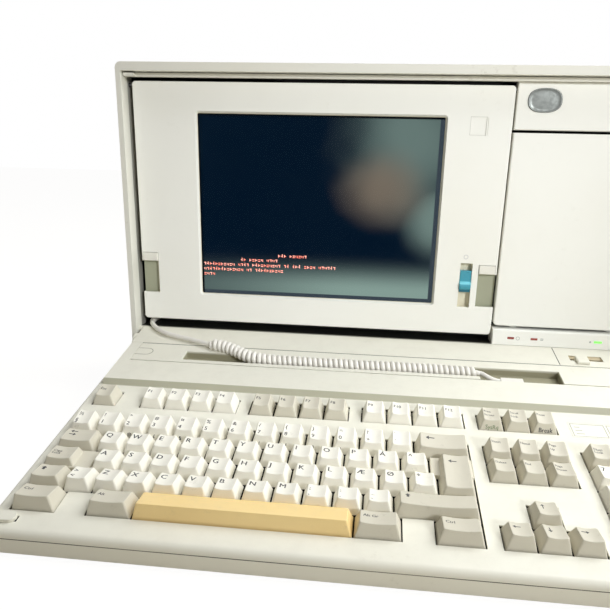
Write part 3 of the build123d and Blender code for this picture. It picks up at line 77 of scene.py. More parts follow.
import bmesh
import bpy
from bpy.props import FloatProperty, FloatVectorProperty, IntProperty, PointerProperty
from mathutils import Euler, Matrix, Vector

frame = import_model()

MM = 0.001
FAR = 400.0  # a limit beyond the object, in millimetres


def tone(red, green, blue):
    """A linear colour from the three numbers of a paint card, 0 to 255."""
    levels = [value / 255 for value in (red, green, blue)]
    return tuple(v / 12.92 if v <= 0.04045 else ((v + 0.055) / 1.055) ** 2.4 for v in levels)


# ------------------------------------------------------------------ settings
def length(name, text, value):
    return FloatProperty(name=name, description=text, default=value, min=0.0, subtype="DISTANCE", unit="LENGTH")


def paint(name, text, value):
    return FloatVectorProperty(name=name, description=text, default=value, size=3, min=0.0, max=1.0, subtype="COLOR")


def number(name, text, value, least=0.0):
    return FloatProperty(name=name, description=text, default=value, min=least)


class CaseLooks(bpy.types.PropertyGroup):
    """Sizes and colours of the case, the display and the keyboard's shells."""

    edge: length("Case edge", "Round on the case's outer edges", 1.3 * MM)
    panel_edge: length("Panel edge", "Round on the panels' edges", 0.55 * MM)
    shell_edge: length("Keyboard edge", "Round on the keyboard's edges", 1.1 * MM)
    plastic: paint("Case plastic", "Warm off-white of the case", tone(237, 236, 227))
    front: paint("Front plastic", "Front frame of the case", tone(230, 229, 220))
    panel: paint("Panel plastic", "Display and drive bay panels", tone(246, 246, 240))
    keyboard: paint("Keyboard plastic", "Keyboard shells and the lip", tone(237, 235, 222))
    aged: paint("Aged plastic", "Where the plastic has yellowed", tone(226, 219, 194))
    teal: paint("Slider", "Brightness slider", tone(66, 158, 178))


class KeyLooks(bpy.types.PropertyGroup):
    """Sizes and colours of the key caps and their legends."""

    pitch: length("Key pitch", "From one key to the next", 19.05 * MM)
    gap: length("Key gap", "Cell edge to the cap's foot", 0.5 * MM)
    taper: length("Key taper", "Cell edge to the cap's top, at the sides", 3.6 * MM)
    front_slope: length("Front slope", "Cell edge to the cap's top, in front", 3.0 * MM)
    rear_slope: length("Rear slope", "Cell edge to the cap's top, behind", 2.5 * MM)
    sink: length("Key sink", "Cap's foot below the keyboard's face", 1.5 * MM)
    dish: length("Dish", "Depth of the finger dish", 1.0 * MM)
    corner: length("Corner", "Corner radius of the cap's top", 1.35 * MM)
    fillet: length("Fillet", "Round on the cap's top edge", 0.5 * MM)
    white: paint("White caps", "Letter and digit keys", tone(248, 245, 234))
    grey: paint("Grey caps", "Function and cursor keys", tone(216, 211, 195))
    space: paint("Space bar", "The yellowed space bar", tone(255, 226, 162))
    ink: paint("Legends", "Printed legends", tone(44, 46, 52))


class ScreenLooks(bpy.types.PropertyGroup):
    """Colours of the display, with its painted sheen and painted reflection."""

    dark: paint("Dark panel", "Unlit plasma panel", tone(1, 16, 34))
    # The haze is a painted sheen and the blush a painted warm reflection, both emitted by the panel.
    painted_sheen: paint("Haze", "Sheen across the panel", tone(138, 162, 152))
    painted_warm_reflection: paint("Blush", "Warm patch right of the middle", tone(128, 114, 98))
    glow: paint("Glow", "Lit dashes", tone(238, 118, 96))


class CordLooks(bpy.types.PropertyGroup):
    """Sizes and colour of the keyboard cord."""

    diameter: length("Cord diameter", "Outside of the sheath", 4.2 * MM)
    coil_radius: length("Coil radius", "Outside of the curly part", 5.6 * MM)
    turn: length("Turn", "From one turn to the next", 4.45 * MM)
    sheath: paint("Sheath", "Cord's plastic", tone(238, 235, 228))


class StageLooks(bpy.types.PropertyGroup):
    """Camera and light."""

    lens: number("Lens", "Focal length in millimetres", 35.707, 1.0)
    sky: number("Sky", "Strength of the even light", 0.17)
    lamp: number("Lamp", "Power of the soft box overhead, in watts", 24.0)
    fill: number("Fill", "Power of the spot on the display, in watts", 87.0)
    bounce: number("Bounce", "How much light the floor sends back", 0.6)
    seed: IntProperty(name="Seed", description="Fixed seed of what is scattered", default=7)


LOOKS = (("luggable_case", CaseLooks), ("luggable_keys", KeyLooks), ("luggable_screen", ScreenLooks),
         ("luggable_cord", CordLooks), ("luggable_stage", StageLooks))

# ------------------------------------------------------------------ places
TILT = math.radians(10.5)
KEY_FIELD_CORNER = Vector((-219.075, -158.781, 22.2898)) * MM
DECK = Matrix.Translation(KEY_FIELD_CORNER) @ Matrix.Rotation(TILT, 4, "X")
# heights of the caps' tops over the keyboard's face in millimetres, at their front and rear edges, for rows 0
# (the space bar's) to 6 (the function keys'); row 5 is the gap between
ROW_FRONT = (9.9, 9.4, 8.2, 8.4, 9.0, 0.0, 7.9)
ROW_REAR = (6.7, 6.8, 7.0, 7.6, 10.7, 0.0, 9.4)
FRONT_Y = 82.927 * MM
# places for printed and let-in pieces: on the deck and on the display's front in millimetres, and upright in metres
ON_DECK = DECK @ Matrix.Scale(MM, 4)
ON_DISPLAY = Matrix.Translation((0.0, FRONT_Y, 0.0)) @ Matrix.Rotation(math.pi / 2, 4, "X") @ Matrix.Scale(MM, 4)
UPRIGHT = Matrix(((1, 0, 0, 0), (0, 0, 1, 0), (0, 1, 0, 0), (0, 0, 0, 1)))
SIDEWAYS = Matrix(((0, 0, 1, 0), (1, 0, 0, 0), (0, 1, 0, 0), (0, 0, 0, 1)))  # an outline of (y, z), drawn out along x
TRAY_FACE = (3.6, 4.03)  # from below the tray's face to just above it, in millimetres


def deck_point(x, y, z):
    """A point on the keyboard, in millimetres from the key field's front left corner."""
    return ON_DECK @ Vector((x, y, z))


def around(centre, radius, degrees):
    """A flat point at an angle round a centre."""
    angle = math.radians(degrees)
    return centre[0] + radius * math.cos(angle), centre[1] + radius * math.sin(angle)


# ------------------------------------------------------------------ node trees
MIX_FACTOR, MIX_FIRST, MIX_SECOND, MIX_RESULT = 0, 6, 7, 2  # colour sockets of a Mix node


def feed(tree, node, inputs):
    """Sets or links a node's inputs, given by name or number."""
    for name, value in inputs.items():
        socket = node.inputs[name]
        if isinstance(value, bpy.types.NodeSocket):
            tree.links.new(value, socket)
        else:
            socket.default_value = (*value[:3], 1.0) if socket.type == "RGBA" else value


def put(tree, kind, inputs=None, **settings):
    """A new node with its settings and inputs."""
    node = tree.nodes.new(kind)
    for name, value in settings.items():
        setattr(node, name, value)
    feed(tree, node, inputs or {})
    return node


def noise(tree, vector, scale, detail=3.0, rough=0.5):
    inputs = {"Vector": vector, "Scale": scale, "Detail": detail, "Roughness": rough}
    return put(tree, "ShaderNodeTexNoise", inputs).outputs["Fac"]


def maths(tree, operation, *values):
    return put(tree, "ShaderNodeMath", dict(enumerate(values)), operation=operation).outputs[0]


def spread(tree, value, low, high, to_low=0.0, to_high=1.0):
    """A value eased from one range to another."""
    inputs = {"Value": value, "From Min": low, "From Max": high, "To Min": to_low, "To Max": to_high}
    return put(tree, "ShaderNodeMapRange", inputs, interpolation_type="SMOOTHSTEP").outputs["Result"]


def blend_colours(tree, factor, first, second):
    inputs = {MIX_FACTOR: factor, MIX_FIRST: first, MIX_SECOND: second}
    return put(tree, "ShaderNodeMix", inputs, data_type="RGBA").outputs[MIX_RESULT]


def split(tree, vector):
    """The X, Y and Z of a vector."""
    return put(tree, "ShaderNodeSeparateXYZ", {"Vector": vector}).outputs


def node_group(name, kind, inputs, outputs):
    """Makes a function that fills a node group into one that returns the group and makes it once."""
    def decorate(fill):
        def get():
            tree = bpy.data.node_groups.get(name)
            if not tree:
                tree = bpy.data.node_groups.new(name, kind)
                for side, sockets in (("INPUT", inputs), ("OUTPUT", outputs)):
                    for label, form, *value in sockets:
                        socket = tree.interface.new_socket(label, in_out=side, socket_type="NodeSocket" + form)
                        if value:
                            socket.default_value = value[0]
                given = tree.nodes.new("NodeGroupInput").outputs
                feed(tree, tree.nodes.new("NodeGroupOutput"), fill(tree, given))
            return tree
        return get
    return decorate


@node_group("Moulded grain", "ShaderNodeTree", (("Vector", "Vector"), ("Grain", "Float", 1400.0),
            ("Wave", "Float", 14.0)), (("Height", "Float"), ("Sheen", "Float")))
def moulded_grain(tree, given):
    """Fine spark-eroded grain of moulded plastic, as a height."""
    fine = noise(tree, given["Vector"], given["Grain"], 2.0, 0.6)
    broad = noise(tree, given["Vector"], given["Wave"], 2.0, 0.4)
    return {"Height": maths(tree, "MULTIPLY_ADD", broad, 1.6, fine),
            "Sheen": spread(tree, fine, 0.3, 0.7, -0.04, 0.05)}


@node_group("Ageing", "ShaderNodeTree", (("Vector", "Vector"), ("Colour", "Color"), ("Aged", "Color"),
            ("Yellowing", "Float", 0.35), ("Marks", "Float", 0.3)), (("Colour", "Color"), ("Mask", "Float")))
def ageing(tree, given):
    """Uneven yellowing and handling marks over a plastic's own colour."""
    vector = given["Vector"]
    cloud = spread(tree, noise(tree, vector, 5.0, 4.0, 0.55), 0.38, 0.72)
    patch = maths(tree, "MULTIPLY", cloud, given["Yellowing"])
    warm = blend_colours(tree, patch, given["Colour"], given["Aged"])
    specks = spread(tree, noise(tree, vector, 160.0, 5.0, 0.7), 0.56, 0.74)
    smear = spread(tree, noise(tree, vector, 22.0, 3.0, 0.6), 0.45, 0.7)
    grime = maths(tree, "MULTIPLY", maths(tree, "MULTIPLY", specks, smear), given["Marks"])
    return {"Colour": blend_colours(tree, grime, warm, tone(150, 142, 122)),
            "Mask": maths(tree, "ADD", patch, grime)}


@node_group("Settled dust", "ShaderNodeTree", (("Vector", "Vector"), ("Normal", "Vector"), ("Colour", "Color"),
            ("Amount", "Float", 0.2)), (("Colour", "Color"), ("Mask", "Float")))
def settled_dust(tree, given):
    """Pale dust that lies on faces that look up."""
    up = spread(tree, split(tree, given["Normal"])["Z"], 0.2, 0.9)
    cloud = spread(tree, noise(tree, given["Vector"], 60.0, 6.0, 0.7), 0.4, 0.75)
    mask = maths(tree, "MULTIPLY", maths(tree, "MULTIPLY", up, cloud), given["Amount"])
    return {"Colour": blend_colours(tree, mask, given["Colour"], tone(190, 184, 172)), "Mask": mask}


@node_group("Inside box", "ShaderNodeTree", (("Vector", "Vector"), ("Low", "Vector"), ("High", "Vector"),
            ("Soft", "Float", 0.001)), (("Mask", "Float"),))
def inside_box(tree, given):
    """How far a place lies inside a box, from 0 at its faces to 1 at the soft depth and beyond."""
    nearest = None
    for first, second in (("Vector", "Low"), ("High", "Vector")):
        gap = put(tree, "ShaderNodeVectorMath", {0: given[first], 1: given[second]}, operation="SUBTRACT")
        for reach in split(tree, gap.outputs["Vector"]):
            nearest = reach if nearest is None else maths(tree, "MINIMUM", nearest, reach)
    return {"Mask": spread(tree, maths(tree, "DIVIDE", nearest, given["Soft"]), 0.0, 1.0)}


@node_group("Even run", "GeometryNodeTree", (("Geometry", "Geometry"), ("Item", "Object"), ("Count", "Int", 1),
            ("Start", "Vector"), ("Step", "Vector"), ("Place", "Vector"), ("Turn", "Vector"),
            ("Finish", "Material")), (("Geometry", "Geometry"),))
def even_run(tree, given):
    """A run of equal pieces on a turned plane, such as keys in a row."""
    line = put(tree, "GeometryNodeMeshLine", {"Count": given["Count"], "Start Location": given["Start"],
                                              "Offset": given["Step"]}, mode="OFFSET")
    item = put(tree, "GeometryNodeObjectInfo", {"Object": given["Item"]})
    spots = put(tree, "GeometryNodeInstanceOnPoints", {"Points": line.outputs["Mesh"],
                                                       "Instance": item.outputs["Geometry"]})
    move = put(tree, "GeometryNodeTransform", {"Geometry": spots.outputs["Instances"],
                                               "Translation": given["Place"], "Rotation": given["Turn"]})
    both = put(tree, "GeometryNodeJoinGeometry", {"Geometry": realised(tree, move.outputs[0], given["Finish"])})
    feed(tree, both, {"Geometry": given["Geometry"]})
    return {"Geometry": both.outputs["Geometry"]}


@node_group("Piece at points", "GeometryNodeTree", (("Geometry", "Geometry"), ("Item", "Object"),
            ("Turn", "Vector"), ("Spin", "Float", 0.6), ("Seed", "Int", 7), ("Finish", "Material")),
            (("Geometry", "Geometry"),))
def piece_at_points(tree, given):
    """The same small piece at each of a mesh's points, such as screws, each turned by chance."""
    item = put(tree, "GeometryNodeObjectInfo", {"Object": given["Item"]})
    chance = put(tree, "FunctionNodeRandomValue", {"Seed": given["Seed"]})
    value = [socket for socket in chance.outputs if socket.type == "VALUE"][0]
    spin = put(tree, "ShaderNodeCombineXYZ", {"Z": maths(tree, "MULTIPLY", value, given["Spin"])})
    local = put(tree, "FunctionNodeRotateEuler", {"Rotation": given["Turn"], "Rotate By": spin.outputs["Vector"]},
                rotation_type="EULER", space="LOCAL")
    spots = put(tree, "GeometryNodeInstanceOnPoints", {"Points": given["Geometry"], "Instance":
                item.outputs["Geometry"], "Rotation": local.outputs["Rotation"]})
    return {"Geometry": realised(tree, spots.outputs["Instances"], given["Finish"])}


def realised(tree, instances, finish):
    """Instances as one mesh of one material."""
    real = put(tree, "GeometryNodeRealizeInstances", {"Geometry": instances})
    coated = put(tree, "GeometryNodeSetMaterial", {"Geometry": real.outputs["Geometry"], "Material": finish})
    return coated.outputs["Geometry"]


def add_tree(piece, tree, **values):
    """Adds a geometry node tree to a piece, with its settings."""
    modifier = piece.modifiers.new(tree.name, "NODES")
    modifier.node_group = tree
    named = {item.name: item.identifier for item in tree.interface.items_tree if item.in_out == "INPUT"}
    for label, value in values.items():
        modifier[named[label]] = value


# ------------------------------------------------------------------ materials
def new_material(name):
    material = bpy.data.materials.new(name)
    material.use_nodes = True
    tree = material.node_tree
    return material, tree, tree.nodes["Principled BSDF"], put(tree, "ShaderNodeTexCoord").outputs["Object"]


def use_group(tree, group, **values):
    return put(tree, "ShaderNodeGroup", values, node_tree=group).outputs


def bump(tree, shader, height, distance):
    node = put(tree, "ShaderNodeBump", {"Strength": 1.0, "Distance": distance, "Height": height})
    feed(tree, shader, {"Normal": node.outputs["Normal"]})


def shaded(tree, spot, colour, shade):
    """A colour with painted shade and highlights inside boxes, each box given as (low, high, soft, tint, on the deck)
    in mm.
    """
    turn = put(tree, "ShaderNodeMapping", {"Vector": spot, "Location": KEY_FIELD_CORNER,
                                           "Rotation": (TILT, 0.0, 0.0)}, vector_type="TEXTURE")
    for low, high, soft, tint, deck in shade:
        box = use_group(tree, inside_box(), Vector=turn.outputs["Vector"] if deck else spot, Low=Vector(low) * MM,
                        High=Vector(high) * MM, Soft=soft * MM)
        colour = blend_colours(tree, box["Mask"], colour, tint)
    return colour


def plastic(name, colour, aged=None, yellowing=0.3, marks=0.3, grain=1400.0, depth=0.00002, rough=0.46, dust=0.12,
            shade=()):
    """Moulded plastic with grain, uneven yellowing, marks and dust, and painted shade and highlights inside the boxes
    of shade.
    """
    material, tree, shader, spot = new_material(name)
    skin = use_group(tree, moulded_grain(), Vector=spot, Grain=grain)
    age = use_group(tree, ageing(), Vector=spot, Colour=colour, Aged=aged or bpy.context.scene.luggable_case.aged,
                    Yellowing=yellowing, Marks=marks)
    surface = put(tree, "ShaderNodeNewGeometry")
    dusty = use_group(tree, settled_dust(), Vector=spot, Normal=surface.outputs["Normal"], Colour=age["Colour"],
                      Amount=dust)
    polish = maths(tree, "MULTIPLY_ADD", dusty["Mask"], 0.5, maths(tree, "ADD", skin["Sheen"], rough))
    feed(tree, shader, {"Base Color": shaded(tree, spot, dusty["Colour"], shade) if shade else dusty["Colour"],
                        "Roughness": polish, "Specular IOR Level": 0.42})
    bump(tree, shader, skin["Height"], depth)
    return material


def shell_plastic(name, **more):
    """The keyboard's plastic, little aged."""
    return plastic(name, bpy.context.scene.luggable_case.keyboard, yellowing=0.15, marks=0.15, **more)


def metal(name, colour, rough=0.35, streak=(1.0, 1.0, 1.0)):
    """Sheet metal with faint rolling streaks and tarnish."""
    material, tree, shader, spot = new_material(name)
    turn = put(tree, "ShaderNodeMapping", {"Vector": spot, "Scale": streak})
    lines = noise(tree, turn.outputs["Vector"], 420.0, 3.0, 0.6)
    age = use_group(tree, ageing(), Vector=spot, Colour=colour, Aged=tuple(c * 0.7 for c in colour), Yellowing=0.5,
                    Marks=0.2)
    feed(tree, shader, {"Base Color": age["Colour"], "Metallic": 1.0,
                        "Roughness": spread(tree, lines, 0.3, 0.7, rough - 0.08, rough + 0.12)})
    bump(tree, shader, lines, 0.00001)
    return material


def green_board():
    """Solder mask with tracks."""
    material, tree, shader, spot = new_material("Circuit board")
    tracks = put(tree, "ShaderNodeTexVoronoi", {"Vector": spot, "Scale": 260.0}, distance="MANHATTAN")
    line = spread(tree, tracks.outputs["Distance"], 0.2, 0.3)
    feed(tree, shader, {"Base Color": blend_colours(tree, line, tone(46, 112, 64), tone(24, 70, 42)),
                        "Roughness": spread(tree, noise(tree, spot, 40.0), 0.3, 0.7, 0.3, 0.45)})
    bump(tree, shader, line, 0.00004)
    return material


def known(name):
    """A material that an earlier step has made."""
    return bpy.data.materials[name]


# ------------------------------------------------------------------ meshes
def mesh_object(name, points, faces, material=None, smooth=True):
    mesh = bpy.data.meshes.new(name)
    mesh.from_pydata([tuple(p) for p in points], [], faces)
    mesh.validate()
    if smooth:
        mesh.shade_smooth()
    if material:
        mesh.materials.append(material)
    return in_scene(name, mesh)


def in_scene(name, data):
    item = bpy.data.objects.new(name, data)
    bpy.context.scene.collection.objects.link(item)
    return item


def evaluated_mesh(item):
    """An item's mesh with its modifiers applied."""
    bpy.context.view_layer.update()
    return bpy.data.meshes.new_from_object(item.evaluated_get(bpy.context.evaluated_depsgraph_get()))


def curve_mesh(name, curve):
    """Points and faces of a curve or a text."""
    item = in_scene(name, curve)
    mesh = evaluated_mesh(item)
    points = [v.co.copy() for v in mesh.vertices]
    faces = [list(polygon.vertices) for polygon in mesh.polygons]
    bpy.data.objects.remove(item)
    bpy.data.meshes.remove(mesh)
    return points, faces


def settle(piece):
    """Applies a piece's modifiers into a plain mesh."""
    mesh = evaluated_mesh(piece)
    mesh.name = piece.name
    piece.modifiers.clear()
    piece.data = mesh
    return piece


def weigh_normals(piece):
    modifier = piece.modifiers.new("Weighted normals", "WEIGHTED_NORMAL")
    modifier.weight = 60
    modifier.keep_sharp = True
    return piece


def round_edges(piece, width, segments=2, limit=32.0):
    """Rounds the edges sharper than a limit in degrees."""
    modifier = piece.modifiers.new("Rounded edges", "BEVEL")
    modifier.width = width
    modifier.segments = segments
    modifier.limit_method = "ANGLE"
    modifier.angle_limit = math.radians(limit)
    modifier.miter_outer = "MITER_SHARP"
    modifier.use_clamp_overlap = True
    return piece


def welded(node):
    """Points and faces of a CAD node, with its triangles joined into flat faces."""
    work = bmesh.new()
    work.from_mesh(frame["nodes"][node].data)
    bmesh.ops.remove_doubles(work, verts=work.verts, dist=2e-6)
    bmesh.ops.dissolve_limit(work, angle_limit=math.radians(0.5), verts=work.verts, edges=work.edges,
                             use_dissolve_boundaries=False)
    work.verts.index_update()
    points = [v.co.copy() for v in work.verts]
    faces = [[v.index for v in face.verts] for face in work.faces]
    work.free()
    return points, faces


def body_of(node):
    return frame["nodes"][node]["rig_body"]


def added(piece, body, slot):
    """A piece of the scene's own that moves with a body."""
    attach(piece, body)
    return piece


def stands_for(piece, node, slot):
    added(piece, body_of(node), slot)
    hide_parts(node)
    return piece


def softened(node, name, material, width, slot, segments=2, limit=32.0):
    """A rounded copy of a CAD node, which stands for it."""
    piece = mesh_object(name, *welded(node), material)
    round_edges(piece, width, segments, limit)
    return stands_for(settle(weigh_normals(piece)), node, slot)


def coat(node, material):
    """Gives a CAD node that stays its own material."""
    materials = frame["nodes"][node].data.materials
    materials.clear()
    materials.append(material)


def ring_skin(rings, count, foot=True):
    """Faces between equal rings of points and over the last one, and over the first if foot is true."""
    faces = []
    for low in range(0, (rings - 1) * count, count):
        for step in range(count):
            after = (step + 1) % count
            faces.append([low + step, low + after, low + count + after, low + count + step])
    if foot:
        faces.append(list(range(count))[::-1])
    faces.append([(rings - 1) * count + step for step in range(count)])
    return faces


def bar(left, front, right, back):
    """Corners of an upright rectangle."""
    return [(left, front), (right, front), (right, back), (left, back)]


def prism(outline, low, high, place=None):
    """Points and faces of a prism from a flat outline, put by a matrix if one is given."""
    points = [Vector((a, b, level)) for level in (low, high) for a, b in outline]
    return [place @ p for p in points] if place else points, ring_skin(2, len(outline))


def joined(parts):
    """Several (points, faces) as one."""
    points, faces = [], []
    for some_points, some_faces in parts:
        base = len(points)
        points += list(some_points)
        faces += [[base + index for index in face] for face in some_faces]
    return points, faces


def outward(piece):
    """Turns a closed mesh's faces outwards."""
    work = bmesh.new()
    work.from_mesh(piece.data)
    bmesh.ops.remove_doubles(work, verts=work.verts, dist=1e-7)
    bmesh.ops.recalc_face_normals(work, faces=work.faces)
    work.to_mesh(piece.data)
    work.free()
    return piece


def slabs(name, material, place, *groups):
    """Flat plates as one mesh, from groups of ((lower level, upper level), outlines)."""
    shapes = [prism(outline, *levels, place) for levels, outlines in groups for outline in outlines]
    return outward(mesh_object(name, *joined(shapes), material, smooth=False))


def arc_bars(centre, radius, width, start, turn, count):
    """Short outlines along part of a ring."""
    for step in range(count):
        a, b = start + turn * step / count, start + turn * (step + 1) / count
        yield [around(centre, r, t) for r, t in ((radius, a), (radius + width, a), (radius + width, b), (radius, b))]


# ------------------------------------------------------------------ case
class LUGGABLE_OT_case(bpy.types.Operator):
    """Front frame, rear shell, hinge lip and feet"""

    bl_idname = "object.luggable_case"
    bl_label = "Case"

    def execute(self, context):
        looks = context.scene.luggable_case
        # dark is painted shade: near black inside the front frame behind its face and inside the rear shell.
        dark = tone(26, 26, 24)
        front = plastic("Case front plastic", looks.front,
                        shade=[((-228.4, 84.0, 0.0), (228.4, FAR, 297.8), 0.8, dark, False)])
        shell = plastic("Case plastic", looks.plastic,
                        shade=[((-230.8, 0.0, 5.2), (230.8, 174.6, 303.2), 0.3, dark, False)])
        shell_plastic("Lip plastic")
        # Painted shade on the lip shelf: near black under the display from 79.5 mm back, and tan in the right end of
        # the release lever's recess.
        shelf = shell_plastic("Lip shelf plastic",
                              shade=[((-FAR, 79.5, 0.0), (FAR, FAR, FAR), 6.5, tone(24, 25, 22), False),
                                     ((386.0, 219.0, -30.0), (416.0, 236.0, 3.7), 0.6, tone(204, 190, 160), True)])
        rubber = plastic("Foot rubber", tone(58, 56, 54), aged=tone(80, 76, 70), grain=700.0, depth=0.00005, rough=0.75)
        softened("front_frame", "case_front", front, looks.edge, "case_plastic", 3)
        softened("case_shell", "case_rear", shell, looks.edge, "case_plastic", 3)
        softened("hinge_lip", "hinge_cover", shelf, 0.7 * MM, "lip_plastic")
        # Painted shadow: a dark strip lying in the seam on the lip.
        ink = plastic("Seam shadow", tone(66, 64, 54), rough=0.7)
        added(slabs("lip_seam", ink, ON_DECK, (TRAY_FACE, [bar(375.6, 211.6, 376.3, 242.0)])), "case", "lip_plastic")
        softened("case_feet", "case_foot_pads", rubber, 0.8 * MM, "foot_rubber")
        return {"FINISHED"}


class LUGGABLE_OT_handle(bpy.types.Operator):
    """Carrying handle in the top of the case"""

    bl_idname = "object.luggable_handle"
    bl_label = "Handle"

    def execute(self, context):
        grip = plastic("Handle plastic", tone(214, 208, 194), grain=900.0, depth=0.00004)
        softened("handle", "carrying_handle", grip, 1.6 * MM, "handle_plastic", 3)
        return {"FINISHED"}


# ------------------------------------------------------------------ display
class LUGGABLE_OT_display(bpy.types.Operator):
    """Display with its glass, panel, latches and slider"""

    bl_idname = "object.luggable_display"
    bl_label = "Display"

    def execute(self, context):
        looks = context.scene.luggable_case
        # Painted shade: the bezel turns a darker cream from 84.2 mm back inside its openings, and greenish grey in the
        # latch recesses at both sides.
        painted_recess_shade = tone(166, 168, 146)
        plastic("Panel plastic", looks.panel, yellowing=0.2, marks=0.08)
        face = plastic("Display plastic", looks.panel, yellowing=0.2, marks=0.08,
                       shade=[((-FAR, 84.2, 0.0), (FAR, FAR, FAR), 2.0, tone(226, 220, 198), False),
                              ((83.5, 84.0, 90.0), (FAR, FAR, 146.0), 2.0, painted_recess_shade, False),
                              ((-FAR, 84.0, 90.0), (-209.0, FAR, 146.0), 2.0, painted_recess_shade, False)])
        back = plastic("Dark plastic", tone(52, 52, 54), aged=tone(70, 68, 64), grain=900.0)
        button = plastic("Button plastic", tone(234, 232, 223), yellowing=0.1, rough=0.4)
        softened("display_bezel", "display_front", face, looks.panel_edge, "panel_plastic", 2, 25.0)
        softened("display_back", "display_rear", back, 0.5 * MM, "black_plastic")
        for side in ("left", "right"):
            softened(f"{side}_display_latch", f"latch_button_{side}", button, 0.4 * MM, "button_plastic")
        self.slider(looks)
        self.prints()
        self.screen(context.scene.luggable_screen)
        coat("tilt_pins", metal("Dark steel", tone(96, 96, 98)))
        return {"FINISHED"}

    def slider(self, looks):
        """A thumb slider: a flat body with a round ridge across it and fine ribs, with a painted highlight on the
        ridge's top and painted shade at its foot.
        """
        low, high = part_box("brightness_slider")
        foot, tall = low.z / MM, (high.z - low.z) / MM
        # Painted highlight: a pale band across the ridge's upper part; painted shade: a dark band at the slider's foot.
        teal = plastic("Slider plastic", looks.teal, aged=tone(90, 140, 160), yellowing=0.2, rough=0.34,
                       shade=[((-FAR, 0.0, foot + 0.36 * tall), (FAR, FAR, foot + 0.52 * tall), 0.8,
                               tone(122, 208, 222), False),
                              ((-FAR, 0.0, foot - 5.0), (FAR, FAR, foot + 0.16 * tall), 1.2,
                               tone(34, 104, 122), False)])
        outline, steps = [], 60
        for step in range(steps + 1):
            share = step / steps
            set_back = 0.9 * MM
            if 0.1 < share < 0.48:
                set_back -= 2.9 * MM * math.sin(math.pi * (share - 0.1) / 0.38) ** 0.7
            if 0.55 < share < 0.95:
                set_back += 0.12 * MM * (1 + math.cos(2 * math.pi * share * 20))
            outline.append((low.y + set_back, low.z + share * (high.z - low.z)))
        outline += [(high.y, high.z), (high.y, low.z)]
        piece = outward(mesh_object("thumb_slider", *prism(outline, low.x, high.x, SIDEWAYS), teal, smooth=False))
        round_edges(piece, 0.25 * MM, 2, 60.0)
        stands_for(settle(weigh_normals(piece)), "brightness_slider", "slider_blue")

    def prints(self):
        """A ring over the slider and the outline of a bare label."""
        ink = plastic("Pale print", tone(196, 198, 204), rough=0.6)
        ring = arc_bars((74.4, 148.9), 1.5, 0.5, 0, 360, 20)
        added(slabs("slider_mark", ink, ON_DISPLAY, ((-0.2, 0.04), ring)), "display", "panel_plastic")
        left, right, low, high, line = 67.9, 81.6, 251.6, 266.6, 0.45
        bars = [bar(left, low, right, low + line), bar(left, high - line, right, high),
                bar(left, low, left + line, high), bar(right - line, low, right, high)]
        rim = plastic("Label rim", tone(214, 214, 207), rough=0.5)
        added(slabs("label_rim", rim, ON_DISPLAY, ((-0.2, 0.05), bars)), "display", "panel_plastic")

    def screen(self, looks):
        """Glass plate, dark plasma panel with its painted sheen and painted warm reflection, both emitted by the panel,
        and lit dashes.
        """
        glass, tree, shader, spot = new_material("Screen glass")
        smear = spread(tree, noise(tree, spot, 18.0, 4.0, 0.6), 0.4, 0.75, 0.03, 0.14)
        feed(tree, shader, {"Base Color": (0.86, 0.88, 0.9), "Transmission Weight": 1.0, "IOR": 1.12,
                            "Specular IOR Level": 0.2, "Roughness": smear})
        softened("display_glass", "screen_glass", glass, 0.4 * MM, "screen_glass")

        dark, tree, shader, spot = new_material("Plasma panel")
        low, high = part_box("plasma_panel")
        margin = Vector((6.0, 0.0, 6.0)) * MM
        low, high = low + margin, high - margin
        wide, tall = high.x - low.x, high.z - low.z

        def patch(x, z, width, height):
            """A cloudy patch for the painted sheen and the painted reflection, all four as shares of the panel."""
            return self.blotch(tree, spot, (low.x + x * wide, low.z + z * tall), (width * wide, height * tall))

        # The corner and edge patches and the band along the bottom are painted sheen; the middle patch is a painted
        # warm reflection.
        corner, edge = patch(0.88, 0.88, 0.40, 0.50), patch(1.0, 0.46, 0.17, 0.28)
        painted_warm_reflection = patch(0.76, 0.64, 0.23, 0.27)
        across, _, up = split(tree, spot)
        foot = maths(tree, "MULTIPLY", spread(tree, up, low.z + 0.29 * tall, low.z + 0.05 * tall),
                     spread(tree, across, low.x - 0.1 * wide, low.x + 0.7 * wide, 0.6, 1.0))
        foot = maths(tree, "MULTIPLY", foot, foot)
        painted_sheen = maths(tree, "MAXIMUM", maths(tree, "MULTIPLY", corner, 0.55), maths(tree, "MULTIPLY", edge, 0.65))
        wires = put(tree, "ShaderNodeTexWave", {"Vector": spot, "Scale": 500.0}, bands_direction="Z").outputs["Fac"]
        near_rim = maths(tree, "MAXIMUM", spread(tree, across, high.x - 3.6 * MM, high.x - 3.2 * MM),
                         spread(tree, up, low.z + 3.0 * MM, low.z + 2.6 * MM))
        far_rim = maths(tree, "MAXIMUM", spread(tree, across, low.x + 1.3 * MM, low.x + 0.9 * MM),
                        spread(tree, up, high.z - 1.6 * MM, high.z - 1.2 * MM))
        colour = looks.dark
        for share, tint in ((painted_sheen, looks.painted_sheen), (maths(tree, "MULTIPLY", painted_warm_reflection, 0.8), looks.painted_warm_reflection), (foot, looks.painted_sheen),
                            (maths(tree, "MULTIPLY", wires, 0.12), tone(6, 34, 50)), (near_rim, tone(58, 68, 76)),
                            (far_rim, tone(3, 5, 8))):
            colour = blend_colours(tree, share, colour, tint)
        # The panel's whole colour is emitted, so its dark tone, painted sheen, painted reflection, wires and edge bands
        # glow though the panel is unlit.
        feed(tree, shader, {"Emission Color": colour, "Emission Strength": 1.0, "Base Color": looks.dark,
                            "Roughness": spread(tree, noise(tree, spot, 30.0), 0.3, 0.7, 0.35, 0.5)})
        softened("plasma_panel", "plasma_screen", dark, 0.6 * MM, "plasma")
        self.dashes(looks)

